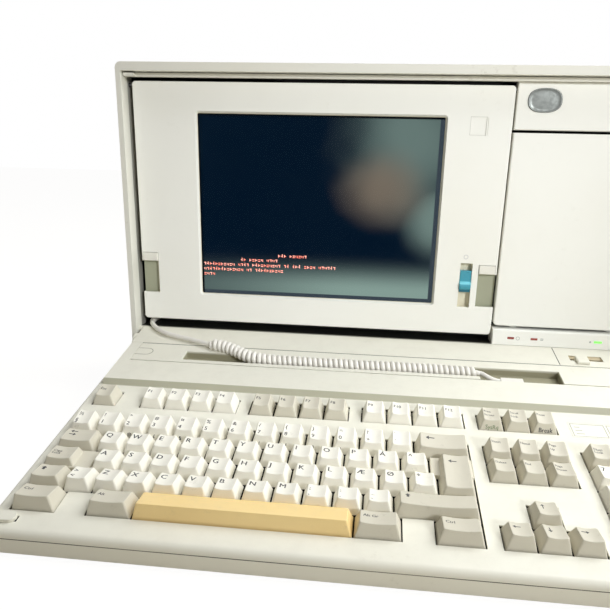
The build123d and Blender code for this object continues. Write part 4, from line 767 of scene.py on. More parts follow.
    def blotch(self, tree, spot, centre, size):
        """A soft cloudy patch on the panel, which masks its painted sheen and painted reflection."""
        across, _, up = split(tree, spot)
        offsets = [maths(tree, "DIVIDE", maths(tree, "SUBTRACT", value, middle), reach)
                   for value, middle, reach in zip((across, up), centre, size)]
        squares = [maths(tree, "MULTIPLY", offset, offset) for offset in offsets]
        far = maths(tree, "SQRT", maths(tree, "ADD", *squares))
        cloud = noise(tree, spot, 14.0, 2.0, 0.5)
        return spread(tree, maths(tree, "MULTIPLY_ADD", cloud, 0.7, maths(tree, "SUBTRACT", far, 0.35)), 1.0, 0.1)

    def dashes(self, looks):
        """Short lit bars in rows on the panel, with no words."""
        material, tree, shader, spot = new_material("Lit dashes")
        flicker = spread(tree, noise(tree, spot, 300.0, 2.0), 0.35, 0.65)
        glow = blend_colours(tree, flicker, looks.glow, tone(250, 170, 150))
        feed(tree, shader, {"Emission Color": glow, "Base Color": glow, "Emission Strength": 1.3})
        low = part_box("plasma_panel")[0]
        # bars of one cell: left, right, bottom, top, as shares of the cell
        marks = (((0.1, 0.3, 0.0, 0.8), (0.3, 0.8, 0.3, 0.5)), ((0.1, 0.8, 0.6, 0.8), (0.5, 0.7, 0.0, 0.6)),
                 ((0.1, 0.8, 0.0, 0.2), (0.1, 0.8, 0.5, 0.7)), ((0.4, 0.6, 0.0, 1.0), (0.1, 0.4, 0.3, 0.5)),
                 ((0.1, 0.3, 0.2, 0.7), (0.6, 0.8, 0.0, 0.7)))
        # runs of cells: row, first cell, cell after the last
        rows = ((0, 26, 29), (0, 30, 36), (1, 13, 15), (1, 16, 21), (1, 22, 26), (2, 0, 11), (2, 12, 16),
                (2, 17, 27), (2, 28, 30), (2, 31, 34), (2, 35, 39), (2, 40, 46), (3, 0, 14), (3, 15, 17),
                (3, 18, 28), (4, 0, 4))
        wide, tall = 2.7 * MM, 3.1 * MM
        bars = []
        for row, first, last in rows:
            floor = low.z + (41.7 - row * 4.73) * MM
            for cell in range(first, last):
                start = low.x + 7.1 * MM + cell * wide
                for left, right, foot, top in marks[(cell * 7 + row * 3 + cell // 3) % len(marks)]:
                    bars.append(bar(start + left * wide, floor + foot * tall, start + right * wide, floor + top * tall))
        lit = slabs("lit_dashes", material, UPRIGHT, ((low.y - 0.1 * MM, low.y), bars))
        added(lit, "display", "plasma")


# ------------------------------------------------------------------ right-hand column
class LUGGABLE_OT_column(bpy.types.Operator):
    """Badge panel, drive bay door, drive and indicator panel"""

    bl_idname = "object.luggable_column"
    bl_label = "Drive bay and lamps"

    def execute(self, context):
        edge = context.scene.luggable_case.panel_edge
        panel = known("Panel plastic")
        softened("badge_panel", "badge_panel_front", panel, edge, "panel_plastic")
        softened("indicator_panel", "lamp_panel", panel, edge, "panel_plastic")
        softened("bay_door", "bay_front", panel, edge, "panel_plastic", 2, 25.0)
        sheet = metal("Steel sheet", tone(176, 176, 172), streak=(1.0, 1.0, 0.1))
        softened("diskette_drive", "drive_unit", sheet, 0.4 * MM, "steel_sheet")
        softened("eject_button", "drive_button", known("Dark plastic"), 0.5 * MM, "black_plastic")
        coat("bay_pins", known("Dark steel"))
        self.badge()
        self.lamps()
        return {"FINISHED"}

    def badge(self):
        """A bare domed oval in a raised rim."""
        low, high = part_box("badge_plate")
        centre, half = (low + high) / 2, (high - low) / 2
        silver = metal("Badge metal", tone(118, 121, 118), rough=0.5)
        # rings from the back edge inwards: share of the oval's size, share of the plate's thickness
        rings = ((1.0, 0.0), (1.0, 0.55), (0.965, 0.8), (0.92, 0.8), (0.885, 0.5), (0.87, 0.35), (0.7, 0.55),
                 (0.4, 0.68), (0.12, 0.72))
        points, count = [], 48
        for size, rise in rings:
            for step in range(count):
                wide, tall = [math.copysign(abs(v) ** 0.8, v) for v in around((0.0, 0.0), 1.0, 360 * step / count)]
                points.append((centre.x + size * half.x * wide, high.y - rise * (high.y - low.y),
                               centre.z + size * half.z * tall))
        piece = outward(mesh_object("badge_oval", points, ring_skin(len(rings), count), silver))
        stands_for(piece, "badge_plate", "badge_metal")

    def lamps(self):
        """Lamp lenses, with a small plain mark beside each."""
        low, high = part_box("indicator_lenses")
        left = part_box("bay_door")[0].x
        # lenses: name, colour, start from the door's left and width in millimetres, glow
        lenses = (("red", tone(136, 62, 56), 13.2, 6.0, 0.02), ("amber", tone(144, 66, 58), 33.8, 6.0, 0.02),
                  ("green", tone(132, 236, 104), 88.8, 7.0, 0.4))
        materials, spans = [], []
        for name, colour, start, wide, light in lenses:
            lens, tree, shader, spot = new_material("Lamp lens " + name)
            pips = spread(tree, noise(tree, spot, 900.0, 2.0), 0.3, 0.7)
            tinted = blend_colours(tree, pips, colour, tuple(min(1.0, c * 1.35 + 0.02) for c in colour))
            feed(tree, shader, {"Base Color": tinted, "Emission Color": tinted, "Emission Strength": light,
                                "Roughness": 0.25})
            materials.append(lens)
            spans.append((left + start * MM, left + (start + wide) * MM))
        blocks = [prism(bar(start, low.z, stop, high.z), low.y, high.y, UPRIGHT) for start, stop in spans]
        piece = mesh_object("lamp_lenses", *joined(blocks))
        for lens in materials:
            piece.data.materials.append(lens)
        for polygon in piece.data.polygons:
            polygon.material_index = polygon.index // len(blocks[0][1])
        round_edges(outward(piece), 0.35 * MM, 2)
        stands_for(settle(weigh_normals(piece)), "indicator_lenses", "lens")
        self.marks(spans, low.y, (low.z + high.z) / 2)

    def marks(self, spans, face, middle):
        """A ring, a bar pair and a disc printed beside the lamps."""
        ink = plastic("Grey print", tone(176, 180, 178), rough=0.6)
        (_, ring_start), (_, pair_start), (disc_stop, _) = spans
        pair = pair_start + 2.4 * MM
        outlines = list(arc_bars((ring_start + 3.2 * MM, middle), 1.3 * MM, 0.4 * MM, 0, 360, 20))
        outlines += [bar(pair, middle + (rise - 0.3) * MM, pair + 2.6 * MM, middle + (rise + 0.3) * MM)
                     for rise in (-0.6, 0.6)]
        outlines.append([around((disc_stop - 3.2 * MM, middle), 0.9 * MM, 360 * step / 16) for step in range(16)])
        printed = slabs("lamp_marks", ink, UPRIGHT, ((face + 0.2 * MM, face + 0.6 * MM), outlines))
        added(printed, "case", "panel_plastic")


# ------------------------------------------------------------------ rear and inside
class LUGGABLE_OT_rear(bpy.types.Operator):
    """Fan, ports, slot covers, mains inlet and screws"""

    bl_idname = "object.luggable_rear"
    bl_label = "Rear"

    def execute(self, context):
        steel, black = known("Steel sheet"), known("Dark plastic")
        shells = metal("Connector shell", tone(196, 194, 184), rough=0.28)
        softened("port_panel", "port_plate", steel, 0.3 * MM, "steel_sheet")
        softened("slot_covers", "slot_plates", steel, 0.3 * MM, "steel_sheet")
        softened("rear_connectors", "port_shells", shells, 0.3 * MM, "connector_shell")
        softened("mains_inlet", "mains_socket", black, 0.4 * MM, "black_plastic")
        softened("fan_housing", "fan_frame", black, 0.4 * MM, "black_plastic")
        softened("fan_rotor", "fan_wheel", black, 0.3 * MM, "black_plastic", 1)
        self.screws(context.scene.luggable_stage.seed)
        return {"FINISHED"}

    def screws(self, seed):
        """Screws of the rear shell, fan and handle plate."""
        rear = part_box("case_shell")[1].y
        spots = [(x, rear, z) for x, z in ((-0.214, 0.020), (0.214, 0.020), (-0.214, 0.290), (0.214, 0.290),
                                           (0.0, 0.290), (0.0, 0.0095))]
        item = self.screw(3.2 * MM)
        piece = mesh_object("rear_screws", spots, [])
        add_tree(piece, piece_at_points(), Item=item, Turn=(-math.pi / 2, 0.0, 0.0), Spin=0.6, Seed=seed,
                 Finish=metal("Screw steel", tone(168, 166, 160), rough=0.3))
        added(settle(piece), "case", "steel_sheet")
        bpy.data.objects.remove(item)

    def screw(self, radius):
        """A countersunk cross-head screw, looking along +z."""
        profile = ((radius * 0.7, -0.9 * MM), (radius, 0.0), (radius, 0.15 * MM), (radius * 0.8, 0.45 * MM),
                   (radius * 0.45, 0.55 * MM))
        sides = 20
        head = [(*around((0.0, 0.0), wide, 360 * step / sides), height)
                for wide, height in profile for step in range(sides)]
        arm = bar(-radius * 0.5, -radius * 0.11, radius * 0.5, radius * 0.11)
        arms = [prism(arm, 0.5 * MM, 0.57 * MM, Matrix.Rotation(turn, 4, "Z")) for turn in (0.0, math.pi / 2)]
        return mesh_object("screw_item", *joined([(head, ring_skin(len(profile), sides)), *arms]), smooth=False)


class LUGGABLE_OT_inside(bpy.types.Operator):
    """Chassis, board, power supply and disk"""

    bl_idname = "object.luggable_inside"
    bl_label = "Inside"

    def execute(self, context):
        coat("chassis_tray", known("Steel sheet"))
        coat("power_supply", known("Steel sheet"))
        coat("hard_disk", metal("Disk casting", tone(118, 120, 122), rough=0.5))
        coat("system_board", green_board())
        return {"FINISHED"}


# ------------------------------------------------------------------ keyboard
class LUGGABLE_OT_keyboard(bpy.types.Operator):
    """Keyboard shells, cord tray, window, latches and release lever"""

    bl_idname = "object.luggable_keyboard"
    bl_label = "Keyboard"

    def execute(self, context):
        edge = context.scene.luggable_case.shell_edge
        shell = shell_plastic("Keyboard plastic")
        # Painted shade: dark in the key wells below the keyboard's face, and a darker band on the riser behind the
        # keys.
        cover = shell_plastic("Keyboard cover plastic",
                              shade=[((-7.0, -16.0, -30.0), (445.0, 177.0, -0.5), 0.8, tone(58, 55, 44), True),
                                     ((-20.0, 143.2, -0.3), (460.0, 148.0, 4.3), 0.5, tone(178, 176, 156), True)])
        # Painted shade: the trough darkens below 3.7 mm.
        trough = shell_plastic("Tray plastic", shade=[((-100.0, 100.0, -30.0), (600.0, 300.0, 3.7), 2.5,
                                                       tone(158, 154, 130), True)])
        softened("keyboard_top", "keyboard_cover", cover, edge, "keyboard_plastic", 3)
        softened("keyboard_base", "keyboard_floor", shell, edge, "keyboard_plastic", 2)
        softened("cord_tray", "cord_trough", trough, 0.35 * MM, "lip_plastic")
        for side in ("left", "right"):
            softened(f"{side}_keyboard_latch", f"keyboard_catch_{side}", shell, 0.45 * MM, "keyboard_plastic", 2, 40.0)
        softened("release_lever", "release_knob", known("Lip plastic"), 1.3 * MM, "lip_plastic", 4)
        softened("keyboard_feet", "keyboard_foot_pads", known("Foot rubber"), 0.5 * MM, "foot_rubber")
        window = plastic("Window film", tone(240, 239, 230), rough=0.3, grain=500.0, depth=0.000005, yellowing=0.1)
        coat("status_window", window)
        self.lines()
        coat("key_plate", metal("Key plate", tone(40, 40, 42), rough=0.55))
        coat("hinge_pins", known("Dark steel"))
        return {"FINISHED"}

    def lines(self):
        """Painted shadows in the seams and in the finger groove at the tray's left, and the window's printed outlines.
        """
        # Painted shadow: dark strips lying in the seams.
        seams = slabs("keyboard_seams", known("Seam shadow"), ON_DECK, ((2.4, 3.1), [bar(6.3, 178.75, 431.9, 179.95)]),
                      (TRAY_FACE, [bar(6.3, 209.7, 431.9, 210.4)]),
                      ((-5.35, -4.8), [bar(-8.8, -18.58, 447.0, -18.3), bar(-8.98, -18.4, -8.7, 200.0),
                                       bar(446.85, -18.4, 447.13, 200.0)]))
        added(seams, "keyboard", "keyboard_plastic")
        shadow = plastic("Groove shadow", tone(150, 148, 134), rough=0.7)
        outlines = list(arc_bars((15.5, 194.9), 5.2, 0.6, -90, 180, 12))
        outlines += [bar(6.4, y, 15.5, y + 0.6) for y in (189.1, 200.1)]
        added(slabs("tray_groove", shadow, ON_DECK, (TRAY_FACE, outlines)), "keyboard", "lip_plastic")
        front, back, line = 114.2, 129.8, 0.6
        outlines = []
        for left, right in ((363.2, 387.6), (389.2, 412.4), (414.0, 437.2)):
            outlines += [bar(left, y, right, y + line) for y in (front, back - line)]
            outlines += [bar(x, front, x + line, back) for x in (left, right - line)]
            outlines += [bar(left + 2.4, y, left + 8.4 - row, y + 0.7) for row, y in enumerate((117.2, 121.2, 125.2))]
        pale = plastic("Window print", tone(168, 166, 150), rough=0.6)
        added(slabs("window_outlines", pale, ON_DECK, ((-0.3, 0.03), outlines)), "keyboard", "window")


# keys: name of the CAD node -> runs of (column, row, count, width, depth, finish), measured in key pitches
KEY_RUNS = {
    "escape_key": [(0, 6, 1, 1, 1, "grey")],
    "function_keys": [(2, 6, 4, 1, 1, "white"), (6.5, 6, 4, 1, 1, "grey"), (11, 6, 4, 1, 1, "white")],
    "digit_keys": [(0, 4, 13, 1, 1, "white")],
    "upper_letter_keys": [(1.5, 3, 12, 1, 1, "white")],
    "home_letter_keys": [(1.75, 2, 12, 1, 1, "white")],
    "lower_letter_keys": [(1.25, 1, 11, 1, 1, "white")],
    "modifier_keys": [
        (13, 4, 1, 2, 1, "grey"), (0, 3, 1, 1.5, 1, "grey"), (0, 2, 1, 1.25, 1, "grey"), (0, 1, 1, 1.25, 1, "grey"),
        (12.25, 1, 1, 2.75, 1, "grey"), (0, 0, 1, 1.5, 1, "grey"), (2.5, 0, 1, 1.5, 1, "grey"),
        (11, 0, 1, 1.5, 1, "grey"), (13.5, 0, 1, 1.5, 1, "grey")],
    "enter_key": [(13.75, 2, 1, 1.25, 2, "grey")],
    "space_bar": [(4, 0, 1, 7, 1, "space")],
    "system_keys": [(15.5, 6, 3, 1, 1, "grey")],
    "edit_keys": [(15.5, 4, 3, 1, 1, "grey"), (15.5, 3, 3, 1, 1, "grey")],
    "arrow_keys": [(15.5, 0, 3, 1, 1, "grey"), (16.5, 1, 1, 1, 1, "grey")],
    "numpad_keys": [
        (19, 4, 4, 1, 1, "grey"), (19, 3, 3, 1, 1, "white"), (19, 2, 3, 1, 1, "white"), (19, 1, 3, 1, 1, "white"),
        (22, 2, 1, 1, 2, "grey"), (22, 0, 1, 1, 2, "grey"), (19, 0, 1, 2, 1, "white"), (21, 0, 1, 1, 1, "white")],
}
# low steps of wide keys: (left, right, row)
KEY_LEDGES = {"modifier_keys": [(0, 1.75, 2)], "enter_key": [(13.5, 15, 3)]}
KEY_SLOT = {"white": "light_keys", "grey": "grey_keys", "space": "space_key"}


class KeyShape:
    """The cap of one size: its outline, top plane and dish, in metres, from its cell's corner."""

    def __init__(self, looks, width, depth, row):
        self.looks = looks
        self.wide, self.deep = width * looks.pitch, depth * looks.pitch
        self.front = ROW_FRONT[row] * MM
        self.rear = ROW_REAR[int(row + depth - 1)] * MM
        self.dished = width < 3
        self.dish = looks.dish * (1.35 if width >= 2 else 1.0)
        self.top = (looks.taper, self.wide - looks.taper, looks.front_slope, self.deep - looks.rear_slope)
        self.foot = (looks.gap, self.wide - looks.gap, looks.gap, self.deep - looks.gap)

    def spot(self, x, y):
        """A place on the cap's top, from shares of its width and depth."""
        left, right, front, rear = self.top
        return Vector((left + x * (right - left), front + y * (rear - front)))

    def height(self, x, y):
        """Height of the cap's top at a place."""
        left, right, front, rear = self.top
        share = (y - front) / (rear - front)
        level = self.front + share * (self.rear - self.front)
        if self.dished:
            across = (x - (left + right) / 2) / ((right - left) / 2)
            return level - self.dish * (1 - min(1.0, across * across))
        along = (share - 0.5) * 2
        return level - 0.25 * self.dish * (1 - min(1.0, along * along))

    def ring(self, limits, radius):
        """A rounded rectangle with the same number of points at every size."""
        left, right, front, rear = limits
        radius = min(radius, (right - left) / 2.01, (rear - front) / 2.01)
        corners = ((right - radius, front + radius, -90), (right - radius, rear - radius, 0),
                   (left + radius, rear - radius, 90), (left + radius, front + radius, 180))
        wide_steps = max(4, int(5 * self.wide / self.looks.pitch))
        deep_steps = max(2, int(2 * self.deep / self.looks.pitch))
        points = []
        for index, (x, y, start) in enumerate(corners):
            points += [around((x, y), radius, start + turn) for turn in (0, 30, 60, 90)]
            from_x, from_y = points[-1]
            next_x, next_y, next_start = corners[(index + 1) % 4]
            to_x, to_y = around((next_x, next_y), radius, next_start)
            steps = wide_steps if index % 2 else deep_steps
            points += [(from_x + (to_x - from_x) * step / steps, from_y + (to_y - from_y) * step / steps)
                       for step in range(1, steps)]
        return points

    def mesh(self):
        """Rings from the foot up over the rounded edge and in across the dish."""
        looks = self.looks
        left, right, front, rear = self.top
        fillet = looks.fillet
        foot, edge = self.ring(self.foot, 1.0 * MM), self.ring(self.top, looks.corner)
        rings = [[(x, y, -looks.sink) for x, y in foot]]
        # side wall up to just under the rounded edge
        rings.append([(fx + (ex - fx) * 0.93, fy + (ey - fy) * 0.93, self.height(ex, ey) - fillet * 0.95)
                      for (fx, fy), (ex, ey) in zip(foot, edge)])
        for inset, drop in ((0.12, 0.45), (0.5, 0.12), (1.0, 0.0)):
            step = inset * fillet
            level = self.ring((left + step, right - step, front + step, rear - step), looks.corner - step * 0.5)
            rings.append([(x, y, self.height(x, y) - drop * fillet) for x, y in level])
        for share in (0.3, 0.6, 0.85):
            across, along = (right - left) / 2 * share, (rear - front) / 2 * share
            level = self.ring((left + across, right - across, front + along, rear - along),
                              looks.corner * (1 - share) + 0.1 * MM)
            rings.append([(x, y, self.height(x, y)) for x, y in level])
        return [p for ring in rings for p in ring], ring_skin(len(rings), len(foot), foot=False)


class LUGGABLE_OT_keys(bpy.types.Operator):
    """Key caps in their groups"""

    bl_idname = "object.luggable_keys"
    bl_label = "Key caps"

    def execute(self, context):
        looks = context.scene.luggable_keys
        finishes = {
            "white": plastic("White key plastic", looks.white, yellowing=0.12, marks=0.35, grain=1100.0, rough=0.5),
            "grey": plastic("Grey key plastic", looks.grey, aged=tone(190, 182, 160), yellowing=0.2, marks=0.35,
                            grain=1100.0, rough=0.5),
            "space": plastic("Space bar plastic", looks.space, aged=tone(232, 196, 128), yellowing=0.5, grain=1100.0,
                             rough=0.42),
        }
        items = {}
        for node, runs in KEY_RUNS.items():
            for finish in sorted({run[5] for run in runs}):
                piece = mesh_object(f"{node}_{finish}_caps", [], [])
                for column, row, count, width, depth, colour in runs:
                    if colour != finish:
                        continue
                    kind = (width, depth, row)
                    if kind not in items:
                        items[kind] = mesh_object(f"cap_{len(items)}", *KeyShape(looks, *kind).mesh())
                    self.run(piece, looks, items[kind], count, column, row, width, finishes[finish])
                if finish == "grey":
                    for left, right, row in KEY_LEDGES.get(node, ()):
                        item = items[("ledge", left, row)] = self.ledge(looks, right - left)
                        self.run(piece, looks, item, 1, left, row, 1, finishes[finish])
                stands_for(settle(weigh_normals(piece)), node, KEY_SLOT[finish])
        for item in items.values():
            bpy.data.objects.remove(item)
        return {"FINISHED"}

    def run(self, piece, looks, item, count, column, row, width, finish):
        """Adds a run of equal caps to a piece."""
        add_tree(piece, even_run(), Item=item, Count=count, Start=(column * looks.pitch, row * looks.pitch, 0.0),
                 Step=(width * looks.pitch, 0.0, 0.0), Place=KEY_FIELD_CORNER, Turn=(TILT, 0.0, 0.0), Finish=finish)

    def ledge(self, looks, width):
        """The low step beside the raised part of a wide key."""
        outline = bar(looks.gap, looks.gap, width * looks.pitch - looks.gap, looks.pitch - looks.gap)
        return settle(round_edges(mesh_object("ledge_item", *prism(outline, -looks.sink, 2.2 * MM)), 0.5 * MM))


SHIFTED = ("½", "!", '"', "#", "¤", "%", "&", "/", "(", ")", "=", "?", "`")
PLAIN = ("§", "1", "2", "3", "4", "5", "6", "7", "8", "9", "0", "+", "´")
UPPER = ("Q", "W", "E", "R", "T", "Y", "U", "I", "O", "P", "Å", "^")
HOME = ("A", "S", "D", "F", "G", "H", "J", "K", "L", "Æ", "Ø", "*")
LOWER = (">", "Z", "X", "C", "V", "B", "N", "M", ";", ":", "_")
UNDER = ("<", "", "", "", "", "", "", "", ",", ".", "-")


def legend_table():
    """Every legend: node, cell and text, with its place on the cap's top as shares and its height in mm."""
    table = []

    def add(node, column, row, text, x=0.08, y=0.52, size=4.2, width=1, depth=1):
        if text:
            table.append((node, column, row, width, depth, text, x, y, size))

    add("escape_key", 0, 6, "Esc", size=2.6)
    for index in range(12):
        add("function_keys", (2, 6.5, 11)[index // 4] + index % 4, 6, f"F{index + 1}", size=2.9)
    for index, (shifted, plain) in enumerate(zip(SHIFTED, PLAIN)):
        add("digit_keys", index, 4, shifted, y=0.60, size=3.4)
        add("digit_keys", index, 4, plain, y=0.10, size=3.4)
    for index, (upper, home) in enumerate(zip(UPPER, HOME)):
        add("upper_letter_keys", 1.5 + index, 3, upper, size=4.4)
        add("home_letter_keys", 1.75 + index, 2, home, size=4.4)
    for index, (lower, under) in enumerate(zip(LOWER, UNDER)):
        add("lower_letter_keys", 1.25 + index, 1, lower, size=3.4 if under else 4.4)
        add("lower_letter_keys", 1.25 + index, 1, under, y=0.10, size=3.4)
    add("modifier_keys", 0, 2, "Caps", size=2.2, width=1.25)
    add("modifier_keys", 0, 2, "Lock", y=0.34, size=2.2, width=1.25)
    for column, text in ((0, "Ctrl"), (2.5, "Alt"), (11, "Alt Gr"), (13.5, "Ctrl")):
        add("modifier_keys", column, 0, text, size=2.6, width=1.5)
    for node, row, words in (("system_keys", 6, ("Print Screen", "Scroll Lock", "Pause")),
                             ("edit_keys", 4, ("Insert", "Home", "Page Up")),
                             ("edit_keys", 3, ("Delete", "End", "Page Down"))):
        for index, text in enumerate(words):
            for line, word in enumerate(text.split()):
                add(node, 15.5 + index, row, word, x=0.06, y=(0.62, 0.34)[line], size=2.0)
    add("numpad_keys", 19, 4, "Num", size=2.2)
    add("numpad_keys", 19, 4, "Lock", y=0.34, size=2.2)
    for index, text in enumerate("/*-"):
        add("numpad_keys", 20 + index, 4, text, size=4.4)
    for row, digits in ((3, "789"), (2, "456"), (1, "123")):
        for index, digit in enumerate(digits):
            add("numpad_keys", 19 + index, row, digit, size=4.4)
    add("numpad_keys", 22, 2, "+", y=0.8, size=4.4, depth=2)
    add("numpad_keys", 22, 0, "Enter", x=0.06, y=0.8, size=2.2, depth=2)
    add("numpad_keys", 19, 0, "0", size=4.4, width=2)
    add("numpad_keys", 21, 0, ",", size=4.4)
    return table


# legends on the caps' fronts: node, column, row, text, height in mm, and whether it is green
FRONT_LEGENDS = (
    ("system_keys", 15.5, 6, "SysRq", 3.0, True), ("system_keys", 17.5, 6, "Break", 3.2, False),
    *(("digit_keys", column, 4, text, 2.6, False)
      for column, text in ((2, "@"), (3, "£"), (4, "$"), (7, "{"), (8, "["), (9, "]"), (10, "}"))),
)
ARROW = ((-0.5, 0.0), (-0.12, 0.3), (-0.12, 0.07), (0.5, 0.07), (0.5, -0.07), (-0.12, -0.07), (-0.12, -0.3))
HOLLOW = ((0.0, 0.5), (-0.42, 0.05), (-0.2, 0.05), (-0.2, -0.42), (0.2, -0.42), (0.2, 0.05), (0.42, 0.05))
# arrows: node, column, row, width, depth, outline, turn in degrees, size in mm, x share, y share
ARROWS = (
    ("modifier_keys", 13, 4, 2, 1, ARROW, 0, 6.0, 0.22, 0.66),
    ("modifier_keys", 0, 3, 1.5, 1, ARROW, 0, 5.0, 0.26, 0.78),
    ("modifier_keys", 0, 3, 1.5, 1, ARROW, 180, 5.0, 0.26, 0.52),
    ("modifier_keys", 0, 1, 1.25, 1, HOLLOW, 0, 4.2, 0.24, 0.66),
    ("modifier_keys", 12.25, 1, 2.75, 1, HOLLOW, 0, 4.2, 0.1, 0.66),
    ("enter_key", 13.75, 2, 1.25, 2, ARROW, 0, 5.6, 0.36, 0.8),
    ("arrow_keys", 15.5, 0, 1, 1, ARROW, 0, 4.6, 0.34, 0.66),
    ("arrow_keys", 16.5, 0, 1, 1, ARROW, 90, 4.6, 0.3, 0.62),
    ("arrow_keys", 17.5, 0, 1, 1, ARROW, 180, 4.6, 0.34, 0.66),
    ("arrow_keys", 16.5, 1, 1, 1, ARROW, -90, 4.6, 0.3, 0.62),
)


class LUGGABLE_OT_legends(bpy.types.Operator):
    """Printed letters, digits and arrows on the caps"""

    bl_idname = "object.luggable_legends"
    bl_label = "Legends"

    def execute(self, context):
        looks = context.scene.luggable_keys
        ink = plastic("Legend ink", looks.ink, aged=tone(110, 108, 104), yellowing=0.4, grain=2000.0, rough=0.6)
        gathered, glyphs = {}, {}
        for node, column, row, width, depth, text, x, y, size in legend_table():
            if text not in glyphs:
                glyphs[text] = self.glyph(text)
            shape = KeyShape(looks, width, depth, row)
            points, faces = glyphs[text]
            start = shape.spot(x, y)
            flat = [(start.x + px * size * MM, start.y + py * size * MM) for px, py in points]
            gathered.setdefault(node, []).append((self.on_top(shape, column, row, flat), faces))
        for node, column, row, width, depth, outline, turn, size, x, y in ARROWS:
            shape = KeyShape(looks, width, depth, row)
            spin = Matrix.Rotation(math.radians(turn), 2)
            flat = [shape.spot(x, y) + spin @ Vector(p) * size * MM for p in outline]
            gathered.setdefault(node, []).append((self.on_top(shape, column, row, flat), [range(len(flat))]))
        green = plastic("Green ink", tone(96, 122, 84), rough=0.6)
        for node, column, row, text, size, is_green in FRONT_LEGENDS:
            shape = KeyShape(looks, 1, 1, row)
            points, faces = self.glyph(text)
            wide = max(x for x, y in points) * size * MM
            left = shape.wide / 2 - wide / 2 if len(text) > 1 else 0.3 * shape.wide
            placed = [(left + px * size * MM, 0.25 + py * size * MM / shape.front) for px, py in points]
            laid = self.on_front(shape, column, row, placed), faces
            if is_green:
                sign = self.face_front(outward(mesh_object("green_legend", *laid, green, smooth=False)))
                added(sign, body_of(node), "grey_keys")
            else:
                gathered.setdefault(node, []).append(laid)
        for node, parts in gathered.items():
            piece = self.face_front(mesh_object(f"{node}_legends", *joined(parts), ink, smooth=False))
            added(piece, body_of(node), KEY_SLOT["white"] if "letter" in node or "digit" in node else "grey_keys")
        return {"FINISHED"}

    def glyph(self, text):
        """A text as flat points and faces, one unit high."""
        curve = bpy.data.curves.new("glyph", "FONT")
        curve.body = text
        curve.size = 1.0 / 0.7
        curve.resolution_u = 2
        points, faces = curve_mesh("glyph", curve)
        points = [(point.x * 0.92, point.y) for point in points]
        # a second copy a little to the right makes the strokes bolder
        return joined([(points, faces), ([(x + 0.05, y) for x, y in points], faces)])

    def on_top(self, shape, column, row, flat):
        """Lays flat points on a cap's top."""
        corner = Vector((column * shape.looks.pitch, row * shape.looks.pitch, 0.0))
        return [DECK @ (corner + Vector((x, y, shape.height(x, y) + 0.05 * MM))) for x, y in flat]

    def on_front(self, shape, column, row, placed):
        """Puts (x, share of height) points on a cap's front wall."""
        looks = shape.looks
        corner = Vector((column * looks.pitch, row * looks.pitch, 0.0))
        points = []
        for x, share in placed:
            edge = shape.height(x, looks.front_slope) - 0.95 * looks.fillet
            level = -looks.sink + share * (edge + looks.sink)
            y = looks.gap + share * 0.93 * (looks.front_slope - looks.gap)
            points.append(DECK @ (corner + Vector((x, y - 0.06 * MM, level))))
        return points

    def face_front(self, piece):
        """Turns printed faces up or towards the typist."""
        work = bmesh.new()
        work.from_mesh(piece.data)
        work.normal_update()
        bmesh.ops.reverse_faces(work, faces=[face for face in work.faces if face.normal.z - face.normal.y < 0])
        work.to_mesh(piece.data)
        work.free()
        return piece


# ------------------------------------------------------------------ keyboard cord
CORD_EXIT = Vector((-219.975, 105.127, 74.499)) * MM
# route points on the keyboard, in millimetres from the key field's front left corner
LEAD_ROUTE = ((-0.3, 257.5, 4.4), (1, 249, 5.8), (6, 240, 7.1), (14.5, 230.8, 7.2), (26, 223.6, 7.2),
              (40, 218.6, 7.2), (53, 214.4, 7.2), (62, 210, 7.7))
COIL_ROUTE = ((68, 207.4, 7.8), (82, 205.2, 7.8), (94, 200.6, 6.8), (105, 194.8, 5.2), (115, 192.6, 4.0),
              (122, 192.4, 3.1), (150, 192.6, 2.6), (205, 192.2, 2.5), (260, 192.5, 2.6), (305, 192, 2.6))
TAIL_ROUTE = ((307.3, 191.2, 2.6), (311, 187.2, 2.3), (315.5, 184.4, 1.2), (321.3, 183.5, 0.3), (324.5, 183.2, 0.1))
BLEND_END = LEAD_ROUTE[5]


